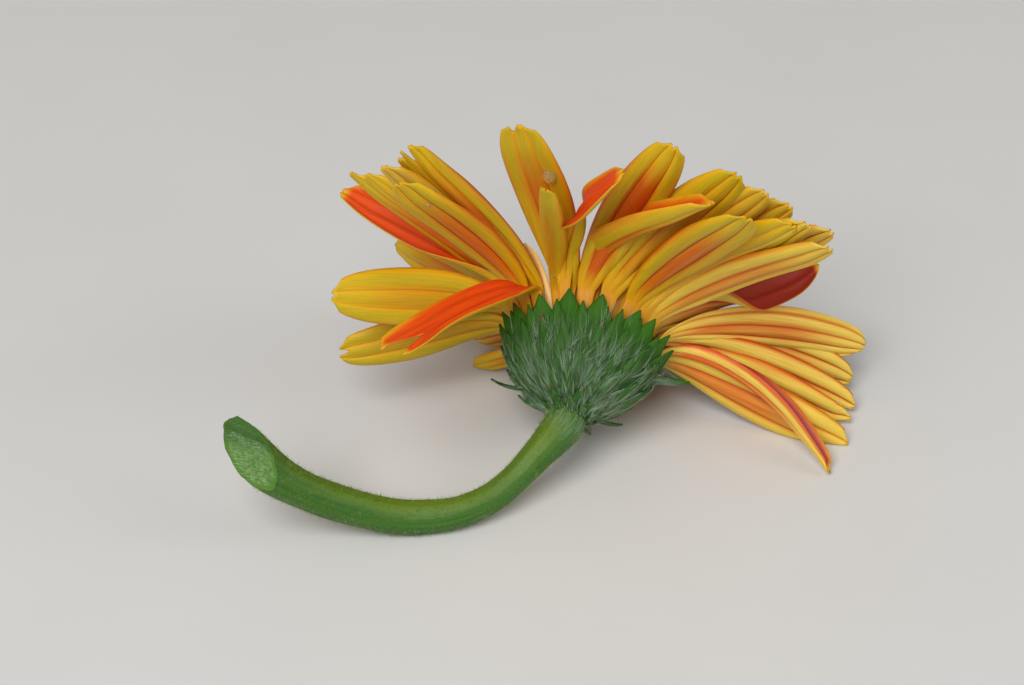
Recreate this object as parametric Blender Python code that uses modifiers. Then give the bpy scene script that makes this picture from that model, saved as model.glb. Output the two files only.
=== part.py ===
"""Cut daisy flower of the gerbera kind, lying on its side on a flat surface.

The bloom faces away from the front (-Y), so its woolly green involucre and the undersides of
its petals show there, and a short piece of bent stem with a slanting cut lies at the left (-X).
Lengths are in millimetres, turned into metres where a mesh is made. +Z is up.
"""
import math
import random
from collections import namedtuple

import bmesh
import bpy
from mathutils import Matrix, Vector

MM = 0.001
SEED = 11
AXIS = Vector((0.0, 0.0, 1.0))

# Where the flower stands in plan, so that the middle of its box is at the origin
PLAN_X = 3.62
PLAN_Y = -3.88

# Head: its centre is the middle of the involucre's mouth, its own +Z is the way the bloom faces
HEAD_HEIGHT = 16.0
HEAD_TILT = math.radians(66.0)
HEAD_TURN = math.radians(168.6)

# Clearance between neighbouring pieces, and the thickness of a petal and of a bract
GAP = 0.3
PETAL_THICK = 0.7
BRACT_THICK = 0.6

# Involucre: a solid cup, whose side goes on past its flat top as the line that the bracts follow
CUP_FOOT = -14.2
CUP_TOP = -4.3
CUP_LINE = [(2.9, CUP_FOOT), (3.3, -12.8), (5.2, -11.4), (7.6, -9.4), (9.8, -6.9), (11.1, CUP_TOP),
            (12.2, -1.6), (13.1, 0.9)]
CUP_SOLID_POINTS = 6
CUP_SIDES = 32

# Rows of bracts from the mouth down to the neck: how many, root and point along the cup's line
# as shares of it, width, lift of the point
BRACT_ROWS = [
    (17, 0.52, 1.0, 3.9, 0.25),
    (17, 0.42, 0.93, 3.5, 0.6),
    (13, 0.3, 0.76, 3.3, 0.7),
    (10, 0.16, 0.56, 2.8, 0.7),
    (6, 0.05, 0.34, 2.2, 0.6),
]
BRACT_SUNK = 0.15
BRACT_CURVE = 0.12

# Rings and dome on the cup's top, which the florets grow from: inner and outer radius, and height
RING_FOOT = CUP_TOP + GAP
RAY_RING = (6.9, 10.2, 1.8)
INNER_RING = (4.5, 6.6, 1.6)
DISC_RADIUS = 4.2
DISC_WALL = 1.4
DISC_DOME = 2.0

# Ray petals stand in two rows. For each: (radius, height) where the claw starts and where the
# blade leaves the mouth, and the least height above the surface, so that one row lies on the other
OUTER = "outer"
INNER = "inner"
ROOT = {OUTER: (9.3, -2.6), INNER: (7.9, -2.6)}
THROAT = {OUTER: (11.7, 1.4), INNER: (10.4, 1.9)}
FLOOR = {OUTER: 0.36, INNER: 1.56}
CLAW_RISE = math.radians(58.0)

# A petal's blade: places along it, strips across it, and how far its tip's teeth stand back
PETAL_STATIONS = (0.0, 0.12, 0.24, 0.42, 0.64, 0.84, 0.95, 1.0)
PETAL_STRIPS = 3
PETAL_TEETH = (-0.5, 0.0, -0.3, -0.9)
CLAW_WIDTH = 0.26

# Place on the ring in degrees, row, tip (beside the head's centre, and height), bow of its line
# forward, sway of it clockwise, width, twist in degrees, cup, where the twist begins and how
# long it takes, how far the line leaves the mouth straight, and where its shoulder is
Petal = namedtuple("Petal", "place row tip bow sway width twist cup fold over leave shoulder",
                   defaults=(0.15, 0.6, 3.8, 0.62))

# The petals that show from the front, clockwise there from the lower left
SHOWN_PETALS = [
    Petal(308, OUTER, (-17, 13.5, 0.5), 1, 0, 5, 0, 0.2),
    Petal(326, INNER, (-17, 17.5, 3), 1, 0, 5, 0, 0.2),
    Petal(350, OUTER, (-37, 0, 13), 1, 0, 8, 35, 0.1),
    Petal(352, INNER, (-30, 27, 15), 2, 0, 7.5, 20, 0.2),
    Petal(12, OUTER, (-37, -6.5, 28.3), 1, 0, 8.8, 66, 0.1),
    Petal(20, INNER, (-35, 6, 41), 2, 0, 5.5, 0, 0.2),
    Petal(26, OUTER, (-37, 14, 33), 2, 0, 8.5, -80, 0.2, fold=0.1, over=0.6),
    Petal(33, INNER, (-32.5, 4, 42), 2, 0, 5.5, 0, 0.2),
    Petal(38, INNER, (-29.4, -5, 48.7), 2, 0, 7.5, 0, 0.2),
    Petal(40, OUTER, (-27, -10, 49), 2, 0, 8, 15, 0.1),
    Petal(46, INNER, (-27, -5, 50), 2, 0, 6, 0, 0.2),
    Petal(54, INNER, (-26, -7, 53), 2, 0, 5.5, 15, 0.6),
    Petal(53, OUTER, (-28, -24, 32), 6, 0, 6.4, -38, 0.2, fold=0.1, over=0.4, leave=2.0),
    Petal(66, INNER, (-6.6, -18, 53), 2, 0, 4.2, 0, 0.4),
    Petal(76, INNER, (-10.7, -11, 59), 2, 0, 8.5, 0, 0.1),
    Petal(76.5, OUTER, (5, -16, 55), 0, -7.5, 6.6, 128, 0.2, fold=0.48, over=0.26, leave=7.0),
    Petal(93, OUTER, (11, -13, 57), 2, 0, 8, 0, 0.2),
    Petal(96, INNER, (17, -19, 51.2), 2, -5.5, 7.5, 60, 0.9, leave=6.5, shoulder=0.4),
    Petal(110, OUTER, (20, -14, 53), 2, 0, 8, 0, 0.2),
    Petal(119, INNER, (24, -14, 50), 2, 0, 7.5, 0, 0.2),
    Petal(127, INNER, (28, -11, 46), 2, 0, 7.5, 0, 0.2),
    Petal(129, OUTER, (21, -21, 50), 2, 0, 8.5, 0, 0.1),
    Petal(135, INNER, (28, -16, 46), 2, 0, 7.5, 0, 0.2),
    Petal(142, OUTER, (30, -16, 46), 2, 0, 8, 0, 0.2),
    Petal(147, INNER, (34, -12, 42.2), 2, 0, 7.5, 0, 0.2),
    Petal(153, OUTER, (33.2, -17, 42.6), 2, 0, 8, 0, 0.2),
    Petal(167, INNER, (36, 10, 23), 2, 6, 8.5, 95, 0.2, fold=0.4, over=0.3),
    Petal(178, OUTER, (44, 9, 8), 3, -1.5, 8, -20, 0.2),
    Petal(188, INNER, (42, 7, 3), 3, 0, 8, -20, 0.2),
    Petal(196, INNER, (42, 2, 1), 2, 0, 8, -25, 0.2),
    Petal(203, OUTER, (36, -13, 0), 8, -3, 5, 40, 0.9),
    Petal(208, INNER, (41, -1, 0), 1, 0, 8, -30, 0.2),
    Petal(216, OUTER, (40, -6, 0), 0, 0, 8.5, -35, 0.2),
]

# The petals below and behind the head, which the surface bends forward: places on the ring in
# degrees, count, reach from the mouth, rise in degrees before the surface bends them, width
HIDDEN_PLACES = (224.0, 330.0)
HIDDEN_COUNT = 13
HIDDEN_REACH = (30.0, 35.0)
HIDDEN_RISE = (20, 32)
HIDDEN_WIDTH = (7.4, 8.4)
HIDDEN_BOW = 2.0
HIDDEN_CUP = 0.15
PRESSED = 0.8

# Inner florets: straps in two rings, the first rising more steeply. Radius, length, rise
STRAPS = [(5.2, 10.8, math.radians(78.0)), (5.9, 14.4, math.radians(66.0))]
STRAP_COUNT = 20
STRAP_STEPS = 3
STRAP_WIDTH = 1.9
STRAP_BEND = math.radians(26.0)

# Disc florets: small tubes set out by the golden angle, foot and mouth radius, length
TUBE_COUNT = 50
TUBE_SIZE = (0.35, 0.5, 2.2)
TUBE_LEAN = 0.5
GOLDEN_ANGLE = math.radians(137.508)

# Stem: its centre line in the head, then from the neck to the cut end. Its lowest stretch lies on
# the surface, which leaves a small flat spot there
STEM_LINE = [(-6.9, -17.3, 8.0), (-10.5, -20.3, 5.6), (-14.1, -22.7, 3.8), (-18.4, -24.5, 2.8),
             (-22.8, -25.2, 2.4), (-27.8, -25.7, 2.8), (-34.1, -26.3, 5.1), (-40.4, -27.8, 9.2),
             (-45.4, -28.8, 13.7), (-51.4, -31.0, 22.3)]
STEM_NECK = [(0.3, 0.0, CUP_FOOT + 1.5), (0.8, 0.0, CUP_FOOT - 1.0)]
STEM_RADII = (2.8, 2.4, 2.15, 2.1, 2.1, 2.25, 2.45, 2.5, 2.6, 2.65, 3.05, 3.7)
STEM_STEPS = 2
CUT_POINT = (-47.4, -29.6, 16.4)
CUT_NORMAL = (-0.32, -0.914, 0.25)


def head_matrix():
    turn = Matrix.Rotation(HEAD_TURN, 4, "Z") @ Matrix.Rotation(HEAD_TILT, 4, "X")
    return Matrix.Translation(AXIS * HEAD_HEIGHT) @ turn


# From the head's own frame to the flower's plan, and back
HEAD = head_matrix()
HEAD_INVERSE = HEAD.inverted()
GROUND_UP = HEAD_INVERSE.to_3x3() @ AXIS


def clear_scene():
    for obj in list(bpy.data.objects):
        bpy.data.objects.remove(obj, do_unlink=True)


def new_collection(name):
    collection = bpy.data.collections.new(name)
    bpy.context.scene.collection.children.link(collection)
    return collection


def new_object(name, data, collection):
    obj = bpy.data.objects.new(name, data)
    collection.objects.link(obj)
    return obj


def new_material(name, colour, roughness):
    material = bpy.data.materials.new(name)
    material.use_nodes = True
    shader = material.node_tree.nodes["Principled BSDF"]
    shader.inputs["Base Color"].default_value = (*colour, 1.0)
    shader.inputs["Roughness"].default_value = roughness
    shader.inputs["Metallic"].default_value = 0.0
    return material


def smooth(t):
    t = min(1.0, max(0.0, t))
    return t * t * (3.0 - 2.0 * t)


def outward(azimuth):
    return Vector((math.cos(azimuth), math.sin(azimuth), 0.0))


def clockwise(azimuth):
    """The way round the ring as the front sees it."""
    return Vector((-math.sin(azimuth), math.cos(azimuth), 0.0))


def ring_point(azimuth, place):
    radius, height = place
    return outward(azimuth) * radius + AXIS * height


def sheet(name, rows):
    """An open sheet of triangles through rows of points, so that thickening it keeps it sound."""
    bm = bmesh.new()
    lines = [[bm.verts.new(point * MM) for point in row] for row in rows]
    for lower, higher in zip(lines, lines[1:]):
        for i in range(len(lower) - 1):
            bm.faces.new((lower[i], higher[i], higher[i + 1], lower[i + 1]))
    bmesh.ops.triangulate(bm, faces=bm.faces)
    mesh = bpy.data.meshes.new(name)
    bm.to_mesh(mesh)
    bm.free()
    return mesh


def make_real(body):
    """Put a body's modifiers into its mesh."""
    evaluated = body.evaluated_get(bpy.context.evaluated_depsgraph_get())
    body.data = bpy.data.meshes.new_from_object(evaluated)
    body.modifiers.clear()


def blade(name, rows, thickness, collection):
    """A closed blade: a sheet with Solidify, half its thickness to each side."""
    body = new_object(name, sheet(name, rows), collection)
    solid = body.modifiers.new("thickness", "SOLIDIFY")
    solid.thickness = thickness * MM
    solid.offset = 0.0
    make_real(body)
    return body


def turned(name, outline, sides, collection):
    """A closed body turned about the head's axis from (radius, height) points, top first."""
    bm = bmesh.new()
    points = [bm.verts.new((radius * MM, 0.0, height * MM)) for radius, height in outline]
    for pair in zip(points, points[1:]):
        bm.edges.new(pair)
    if outline[0][0] > 0.0:
        bm.edges.new((points[-1], points[0]))
    mesh = bpy.data.meshes.new(name)
    bm.to_mesh(mesh)
    bm.free()
    body = new_object(name, mesh, collection)
    screw = body.modifiers.new("turn", "SCREW")
    screw.steps = sides
    screw.render_steps = sides
    screw.use_merge_vertices = True
    screw.merge_threshold = 0.00001
    make_real(body)
    face_outward(body)
    return body


def ring_outline(ring):
    inner, outer, height = ring
    return [(outer, RING_FOOT + height), (outer, RING_FOOT), (inner, RING_FOOT), (inner, RING_FOOT + height)]


def face_outward(body):
    bm = bmesh.new()
    bm.from_mesh(body.data)
    bmesh.ops.recalc_face_normals(bm, faces=bm.faces)
    bm.to_mesh(body.data)
    bm.free()


def islands(bm):
    """The groups of faces that hang together over edges of two faces, each a list."""
    waiting = set(bm.faces)
    found = []
    while waiting:
        stack = [waiting.pop()]
        island = []
        while stack:
            face = stack.pop()
            island.append(face)
            sound = [edge for edge in face.edges if len(edge.link_faces) == 2]
            for edge in sound:
                for neighbour in edge.link_faces:
                    if neighbour in waiting:
                        waiting.remove(neighbour)
                        stack.append(neighbour)
        found.append(island)
    return found


def island_volume(island):
    total = 0.0
    for face in island:
        first = face.verts[0].co
        for a, b in zip(face.verts[1:], face.verts[2:]):
            total += first.dot(a.co.cross(b.co)) / 6.0
    return total


def keep_outer_skin(body):
    """Fill the pockets that joining has sealed, and drop loose scraps."""
    bm = bmesh.new()
    bm.from_mesh(body.data)
    found = sorted(islands(bm), key=island_volume)
    spare = [face for island in found[:-1] for face in island]
    bmesh.ops.delete(bm, geom=spare, context="FACES")
    bm.to_mesh(body.data)
    bm.free()


def fuse(body, repeats):
    """Join a body and a collection of repeats to one solid, and remove the repeats."""
    union = body.modifiers.new("union", "BOOLEAN")
    union.operation = "UNION"
    union.operand_type = "COLLECTION"
    union.collection = repeats
    union.solver = "EXACT"
    make_real(body)
    keep_outer_skin(body)
    for repeat in list(repeats.objects):
        bpy.data.objects.remove(repeat, do_unlink=True)
    bpy.data.collections.remove(repeats)
    return body


def above_surface(point, floor):
    """Lift a point of the head's frame that is lower than the floor, with a soft knee."""
    knee = 0.02
    above = (HEAD @ point).z - floor
    kept = 0.5 * (above + math.sqrt(above * above + knee))
    return point + GROUND_UP * (kept - above)


def bezier(points, t):
    a, b, c, d = points
    s = 1.0 - t
    return a * s ** 3 + b * (3 * s * s * t) + c * (3 * s * t * t) + d * t ** 3


def petal_line(petal):
    """Centre line of a petal: a straight claw, then a curve over the mouth to the tip."""
    azimuth = math.radians(petal.place)
    root = ring_point(azimuth, ROOT[petal.row])
    throat = ring_point(azimuth, THROAT[petal.row])
    tip = HEAD_INVERSE @ Vector(petal.tip)
    leaving = outward(azimuth) * math.cos(CLAW_RISE) + AXIS * math.sin(CLAW_RISE)
    handle = throat + leaving * petal.leave
    shoulder = throat.lerp(tip, petal.shoulder) + AXIS * petal.bow + clockwise(azimuth) * petal.sway
    curve = (throat, handle, shoulder, tip)
    steps = 20
    claw = (throat - root).length
    reach = sum((bezier(curve, (k + 1) / steps) - bezier(curve, k / steps)).length for k in range(steps))

    def at(t):
        travelled = t * (claw + reach)
        if travelled <= claw:
            return root.lerp(throat, travelled / claw)
        return above_surface(bezier(curve, (travelled - claw) / reach), FLOOR[petal.row])
    return at


def petal_width(t):
    """The blade's width along the petal, as a share of its greatest: claw, belly, rounded tip."""
    growing = CLAW_WIDTH + (1.0 - CLAW_WIDTH) * smooth(t / 0.68)
    closing = (1.0 - max(0.0, (t - 0.62) / 0.39) ** 3) ** 0.6
    return growing * closing


def petal_rows(petal):
    """Rows of points across a petal. Twist turns the blade about its line, cup raises its edges."""
    line = petal_line(petal)
    side = clockwise(math.radians(petal.place))
    rows = []
    for t in PETAL_STATIONS:
        along = (line(min(1.0, t + 0.02)) - line(max(0.0, t - 0.02))).normalized()
        side = (side - along * side.dot(along)).normalized()
        upper = along.cross(side)
        turn = math.radians(petal.twist) * smooth((t - petal.fold) / petal.over)
        across = side * math.cos(turn) + upper * math.sin(turn)
        normal = upper * math.cos(turn) - side * math.sin(turn)
        half = 0.5 * petal.width * petal_width(t)
        bend = petal.cup * smooth((t - 0.05) / 0.3)
        row = []
        for i in range(PETAL_STRIPS + 1):
            u = 2.0 * i / PETAL_STRIPS - 1.0
            point = line(t) + across * (u * half * math.cos(bend))
            point += normal * (abs(u) ** 1.6 * half * math.sin(bend))
            if t == 1.0:
                point += along * PETAL_TEETH[i]
            row.append(above_surface(point, FLOOR[petal.row]))
        rows.append(row)
    return rows


def bent_tip(place, row, reach, rise):
    """Where a petal of this reach ends, bent forward until the surface only presses its tip."""
    azimuth = math.radians(place)
    while True:
        lean = math.radians(rise)
        way = outward(azimuth) * math.cos(lean) + AXIS * math.sin(lean)
        tip = HEAD @ (ring_point(azimuth, THROAT[OUTER]) + way * reach)
        if tip.z > FLOOR[row] - PRESSED:
            return tip
        rise += 1


def hidden_petals():
    draw = random.Random(SEED)
    first, last = HIDDEN_PLACES
    petals = []
    for k in range(HIDDEN_COUNT):
        place = first + (last - first) * k / (HIDDEN_COUNT - 1) + draw.uniform(-1.5, 1.5)
        row = OUTER if k % 2 == 0 else INNER
        rise = draw.uniform(*HIDDEN_RISE)
        tip = bent_tip(place, row, draw.uniform(*HIDDEN_REACH), rise)
        petals.append(Petal(place, row, tip, HIDDEN_BOW, 0, draw.uniform(*HIDDEN_WIDTH), 0, HIDDEN_CUP))
    return petals


def make_ray_petals(collection):
    """All the long petals, their claws sunk in the ring that they grow from."""
    blades = new_collection("ray_blades")
    for petal in SHOWN_PETALS + hidden_petals():
        blade("petal", petal_rows(petal), PETAL_THICK, blades)
    ring = turned("ray_petals", ring_outline(RAY_RING), 40, collection)
    return fuse(ring, blades)


def line_length(points):
    return sum(math.hypot(b[0] - a[0], b[1] - a[1]) for a, b in zip(points, points[1:]))


def cup_point(share, lift):
    """(radius, height) at a share of the cup's line, lifted off it along its normal."""
    remaining = share * line_length(CUP_LINE)
    for (r0, z0), (r1, z1) in zip(CUP_LINE, CUP_LINE[1:]):
        length = math.hypot(r1 - r0, z1 - z0)
        if remaining <= length or (r1, z1) == CUP_LINE[-1]:
            break
        remaining -= length
    along = ((r1 - r0) / length, (z1 - z0) / length)
    return (r0 + along[0] * remaining + along[1] * lift, z0 + along[1] * remaining - along[0] * lift)


def bract_rows(azimuth, start, end, width, lift):
    """A narrow pointed leaf that lies up the cup's side, its root sunk and its point lifted."""
    rows = []
    for t in (0.0, 0.5, 1.0):
        half = 0.5 * width * (0.8 + 0.2 * smooth(t / 0.5)) * (1.0 - 0.85 * smooth((t - 0.5) / 0.5))
        centre = ring_point(azimuth, cup_point(start + (end - start) * t, lift * smooth(t) - BRACT_SUNK))
        curve = outward(azimuth) * (BRACT_CURVE * half)
        rows.append([centre + clockwise(azimuth) * (u * half) - curve * (u * u) for u in (-1.0, 0.0, 1.0)])
    return rows


def make_involucre(collection):
    """The green cup under the bloom, with its rows of bracts like tiles from the mouth to the neck."""
    bracts = new_collection("bracts")
    draw = random.Random(SEED + 1)
    for k, (count, start, end, width, lift) in enumerate(BRACT_ROWS):
        for i in range(count):
            azimuth = 2.0 * math.pi * (i + 0.5 * (k % 2)) / count + draw.uniform(-0.03, 0.03)
            rows = bract_rows(azimuth, start, end - draw.uniform(0.0, 0.03), width, lift)
            blade("bract", rows, BRACT_THICK, bracts)
    side = CUP_LINE[:CUP_SOLID_POINTS]
    cup = turned("involucre", [(0.0, CUP_TOP)] + side[::-1] + [(0.0, CUP_FOOT)], CUP_SIDES, collection)
    return fuse(cup, bracts)


def strap_rows(azimuth, radius, length, rise):
    """A short inner floret: a narrow strap that leans outward as it rises."""
    centre = ring_point(azimuth, (radius, RING_FOOT + 0.5 * INNER_RING[2]))
    rows = []
    for k in range(STRAP_STEPS + 1):
        t = k / STRAP_STEPS
        half = 0.5 * STRAP_WIDTH * (0.6 + 0.4 * smooth(t / 0.6)) * (1.0 - 0.55 * smooth((t - 0.7) / 0.3))
        rows.append([centre + clockwise(azimuth) * (u * half) for u in (-1.0, 0.0, 1.0)])
        lean = rise - STRAP_BEND * t
        centre = centre + (outward(azimuth) * math.cos(lean) + AXIS * math.sin(lean)) * (length / STRAP_STEPS)
    return rows


def make_inner_florets(collection):
    straps = new_collection("straps")
    draw = random.Random(SEED + 2)
    for i in range(STRAP_COUNT):
        azimuth = 2.0 * math.pi * i / STRAP_COUNT + draw.uniform(-0.05, 0.05)
        radius, length, rise = STRAPS[i % 2]
        rows = strap_rows(azimuth, radius, length + draw.uniform(-0.8, 0.8), rise)
        blade("strap", rows, BRACT_THICK, straps)
    ring = turned("inner_florets", ring_outline(INNER_RING), 28, collection)
    return fuse(ring, straps)


def add_tube(azimuth, share, collection):
    """One disc floret: a small square tube that leans outward the further it is from the middle."""
    foot, mouth, length = TUBE_SIZE
    bm = bmesh.new()
    bmesh.ops.create_cone(bm, cap_ends=True, segments=4, radius1=foot * MM, radius2=mouth * MM,
                          depth=length * MM)
    height = RING_FOOT + DISC_WALL + DISC_DOME * (1.0 - share * share)
    place = ring_point(azimuth, ((DISC_RADIUS - mouth) * share, height))
    bm.transform(Matrix.Translation(place * MM) @ Matrix.Rotation(TUBE_LEAN * share, 4, clockwise(azimuth)))
    mesh = bpy.data.meshes.new("tube")
    bm.to_mesh(mesh)
    bm.free()
    new_object("tube", mesh, collection)


def make_disc_florets(collection):
    """A dome packed with small florets."""
    tubes = new_collection("tubes")
    for i in range(TUBE_COUNT):
        add_tube(i * GOLDEN_ANGLE, math.sqrt((i + 0.5) / TUBE_COUNT), tubes)
    shoulder = RING_FOOT + DISC_WALL
    outline = [(DISC_RADIUS * math.sin(turn), shoulder + DISC_DOME * math.cos(turn))
               for turn in (0.5 * math.pi * k / 4 for k in range(5))]
    outline += [(DISC_RADIUS, RING_FOOT), (0.0, RING_FOOT)]
    disc = turned("disc_florets", outline, 24, collection)
    return fuse(disc, tubes)


def smooth_line(points, radii, steps):
    """Points read from a Catmull-Rom curve through a line of points, each with its radius."""
    ends = [points[0] * 2 - points[1]] + points + [points[-1] * 2 - points[-2]]
    line = []
    for i in range(len(points) - 1):
        a, b, c, d = ends[i:i + 4]
        for k in range(steps):
            t = k / steps
            point = 0.5 * (b * 2 + (c - a) * t + (a * 2 - b * 5 + c * 4 - d) * t * t
                           + (b * 3 - a - c * 3 + d) * t ** 3)
            line.append((point, radii[i] + (radii[i + 1] - radii[i]) * t))
    line.append((points[-1], radii[-1]))
    return line


def cut_flat(mesh, point, normal):
    """Take away what lies beyond a plane, and close the mesh with a flat face there."""
    bm = bmesh.new()
    bm.from_mesh(mesh)
    bmesh.ops.remove_doubles(bm, verts=bm.verts, dist=0.00001)
    cut = bmesh.ops.bisect_plane(bm, geom=bm.verts[:] + bm.edges[:] + bm.faces[:],
                                 plane_co=Vector(point) * MM, plane_no=normal, clear_outer=True)
    rim = [edge for edge in cut["geom_cut"] if isinstance(edge, bmesh.types.BMEdge)]
    bmesh.ops.edgenet_fill(bm, edges=rim)
    bmesh.ops.recalc_face_normals(bm, faces=bm.faces)
    bm.to_mesh(mesh)
    bm.free()


def make_stem(collection):
    """The bent stalk: a tapering tube, cut square below the cup, slanting at its end, flat below."""
    neck = [HEAD @ Vector(point) for point in STEM_NECK]
    line = smooth_line(neck + [Vector(point) for point in STEM_LINE], STEM_RADII, STEM_STEPS)
    curve = bpy.data.curves.new("stem_line", "CURVE")
    curve.dimensions = "3D"
    curve.bevel_depth = MM
    curve.bevel_resolution = 4
    curve.use_fill_caps = True
    spline = curve.splines.new("POLY")
    spline.points.add(len(line) - 1)
    for place, (point, radius) in zip(spline.points, line):
        place.co = (*(point * MM), 1.0)
        place.radius = radius
    guide = new_object("stem_line", curve, collection)
    evaluated = guide.evaluated_get(bpy.context.evaluated_depsgraph_get())
    mesh = bpy.data.meshes.new_from_object(evaluated)
    bpy.data.objects.remove(guide, do_unlink=True)
    cut_flat(mesh, HEAD @ (AXIS * (CUP_FOOT - GAP)), HEAD.to_3x3() @ AXIS)
    cut_flat(mesh, CUT_POINT, CUT_NORMAL)
    cut_flat(mesh, (0.0, 0.0, 0.0), -AXIS)
    return new_object("stem", mesh, collection)


def finish(obj, parent, material):
    obj.parent = parent
    obj.data.materials.clear()
    obj.data.materials.append(material)
    obj.data.shade_smooth()
    obj.data.set_sharp_from_angle(angle=math.radians(40.0))


def main():
    clear_scene()
    flower = new_collection("daisy_flower")
    plan = new_object("plan", None, flower)
    plan.location = Vector((PLAN_X, PLAN_Y, 0.0)) * MM
    head = new_object("head", None, flower)
    head.location = AXIS * (HEAD_HEIGHT * MM)
    head.rotation_euler = (HEAD_TILT, 0.0, HEAD_TURN)
    head.parent = plan
    finish(make_stem(flower), plan, new_material("stem_green", (0.16, 0.25, 0.05), 0.6))
    finish(make_involucre(flower), head, new_material("woolly_green", (0.2, 0.29, 0.1), 0.8))
    finish(make_ray_petals(flower), head, new_material("petal_yellow", (0.78, 0.5, 0.06), 0.55))
    finish(make_inner_florets(flower), head, new_material("floret_cream", (0.85, 0.7, 0.3), 0.6))
    finish(make_disc_florets(flower), head, new_material("disc_gold", (0.45, 0.25, 0.05), 0.7))


if __name__ == "__main__":
    main()
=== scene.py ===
"""Looks of the cut daisy: fine petals, woolly involucre, hairy stem, florets and water drops.

The file is laid out as a Blender add-on and is run as a script. Lengths in the design are
millimetres, in the head's own frame or in the flower's plan, as in its solids.
"""

import math
import random
from collections import namedtuple

import bmesh
import bpy
import numpy as np
from bpy.props import FloatProperty, FloatVectorProperty, IntProperty, PointerProperty
from bpy.types import Operator, Panel, PropertyGroup
from mathutils import Matrix, Vector
from mathutils.bvhtree import BVHTree


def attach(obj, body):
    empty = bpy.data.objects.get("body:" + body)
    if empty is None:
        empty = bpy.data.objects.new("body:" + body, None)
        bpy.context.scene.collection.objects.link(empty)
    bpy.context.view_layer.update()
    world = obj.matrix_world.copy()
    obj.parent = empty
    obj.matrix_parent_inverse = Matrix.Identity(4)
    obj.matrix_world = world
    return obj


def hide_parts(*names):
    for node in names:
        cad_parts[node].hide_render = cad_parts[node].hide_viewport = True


bl_info = {
    "name": "Cut daisy",
    "version": (1, 0, 0),
    "blender": (4, 5, 0),
    "location": "3D View > Sidebar > Daisy",
    "description": "Fine petals, involucre, stem and florets of a daisy that lies on its side",
    "category": "Object",
}

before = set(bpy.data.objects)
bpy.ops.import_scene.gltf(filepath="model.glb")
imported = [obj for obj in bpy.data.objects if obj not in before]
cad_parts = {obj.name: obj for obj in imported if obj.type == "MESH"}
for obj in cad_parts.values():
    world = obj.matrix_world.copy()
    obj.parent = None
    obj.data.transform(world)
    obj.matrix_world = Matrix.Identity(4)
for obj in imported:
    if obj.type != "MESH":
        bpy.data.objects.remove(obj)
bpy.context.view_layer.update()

MM = 0.001
SEED = 11
UP = np.array((0.0, 0.0, 1.0))

# Where the flower stands in plan, and its head, as in the solids
PLAN = np.array((3.62, -3.88, 0.0))
HEAD_HEIGHT = 16.0
HEAD_TILT = math.radians(66.0)
HEAD_TURN = math.radians(168.6)
HEAD_TURNED = np.array(Matrix.Rotation(HEAD_TURN, 3, "Z") @ Matrix.Rotation(HEAD_TILT, 3, "X"))
HEAD_CENTRE = PLAN + UP * HEAD_HEIGHT
GROUND_UP = HEAD_TURNED[2]
FLOOR_CLEARANCE = 0.03
SOFT_KNEE = 0.02

# The photo's camera: it looks down at the head's centre, which lies at a pixel of the photo
CAMERA_FALL = math.radians(35.0)
CAMERA_DISTANCE = 384.0
CAMERA_LENS = 90.0
SENSOR_WIDTH = 36.0
PHOTO_MIDDLE = (512.0, 342.5)
HEAD_PIXEL = (585.0, 340.0)
MM_PER_PIXEL = 0.15

# Involucre: the line up the cup's side, from the neck to the mouth, its solid part's top, and how
# deep under that line the solid part and the roots of the bracts are
CUP_FOOT = -14.2
CUP_TOP = -4.3
CUP_LINE = np.array([(2.9, CUP_FOOT), (3.3, -12.8), (5.2, -11.4), (7.6, -9.4), (9.8, -6.9),
                     (11.1, CUP_TOP), (12.2, -1.6), (13.1, 0.9)])
CUP_LENGTH = np.linalg.norm(np.diff(CUP_LINE, axis=0), axis=1).sum()
CUP_SOLID_SHARE = 0.74
CUP_STATIONS = 27
CUP_SIDES = 72
CUP_SUNK = -0.25
BRACT_SUNK = -0.1

# Rows of bracts from the mouth down to the neck: how many, root and point along the cup's line
# as shares of it, width, lift of the point, and how green and bare they are
BRACT_ROWS = [
    (17, 0.5, 1.0, 5.2, 0.2, 1.0),
    (17, 0.42, 0.93, 3.8, 0.4, 0.7),
    (17, 0.3, 0.81, 3.2, 0.55, 0.4),
    (16, 0.2, 0.67, 2.9, 0.6, 0.3),
    (13, 0.12, 0.53, 2.6, 0.6, 0.25),
    (10, 0.07, 0.4, 2.2, 0.55, 0.25),
    (7, 0.03, 0.27, 1.8, 0.5, 0.35),
    (9, 0.0, 0.16, 1.6, 0.4, 0.4),
]
BRACT_STATIONS = 12
BRACT_STRIPS = 8
BRACT_HALF_THICKNESS = 0.17
BRACT_GRAIN = 8.0
DRY_BRACTS = 0.22

# How much the bracts differ in place on the ring, in reach, in width and in lift
BRACT_TURN = 0.07
BRACT_SHORTER = 0.05
BRACT_WIDTHS = (0.85, 1.1)
BRACT_LIFTS = (0.6, 1.1)

# How far the grain is moved from one petal to the next, and its range for the small blades, so
# that no two look alike
GRAIN_STEP = 7.3
GRAIN_APART = (0.0, 90.0)

# Wool: hairs in a tuft, points along a hair, how high it lies over the bracts, how unevenly it
# stands off them, and how far up the cup's line it goes at most
TUFT_HAIRS = 8
WOOL_POINTS = 7
WOOL_LIFT = 0.07
WOOL_RISE = 0.1
WOOL_END = 0.95

# How unevenly the hairs of a tuft start along the cup's line and round the ring, how unevenly the
# tufts head to a side, and how unevenly a hair turns at each of its points
HAIR_ALONG = 0.012
HAIR_ROUND = 0.025
TUFT_HEADING = 0.25
HAIR_TURNING = 0.12

# How far outside the cup's line the way in to the bract below a hair starts, how long that way is,
# and how far in a hair lies that meets no bract
SKIN_ABOVE = 4.0
SKIN_REACH = 6.0
SKIN_MISSED = 3.4

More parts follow.
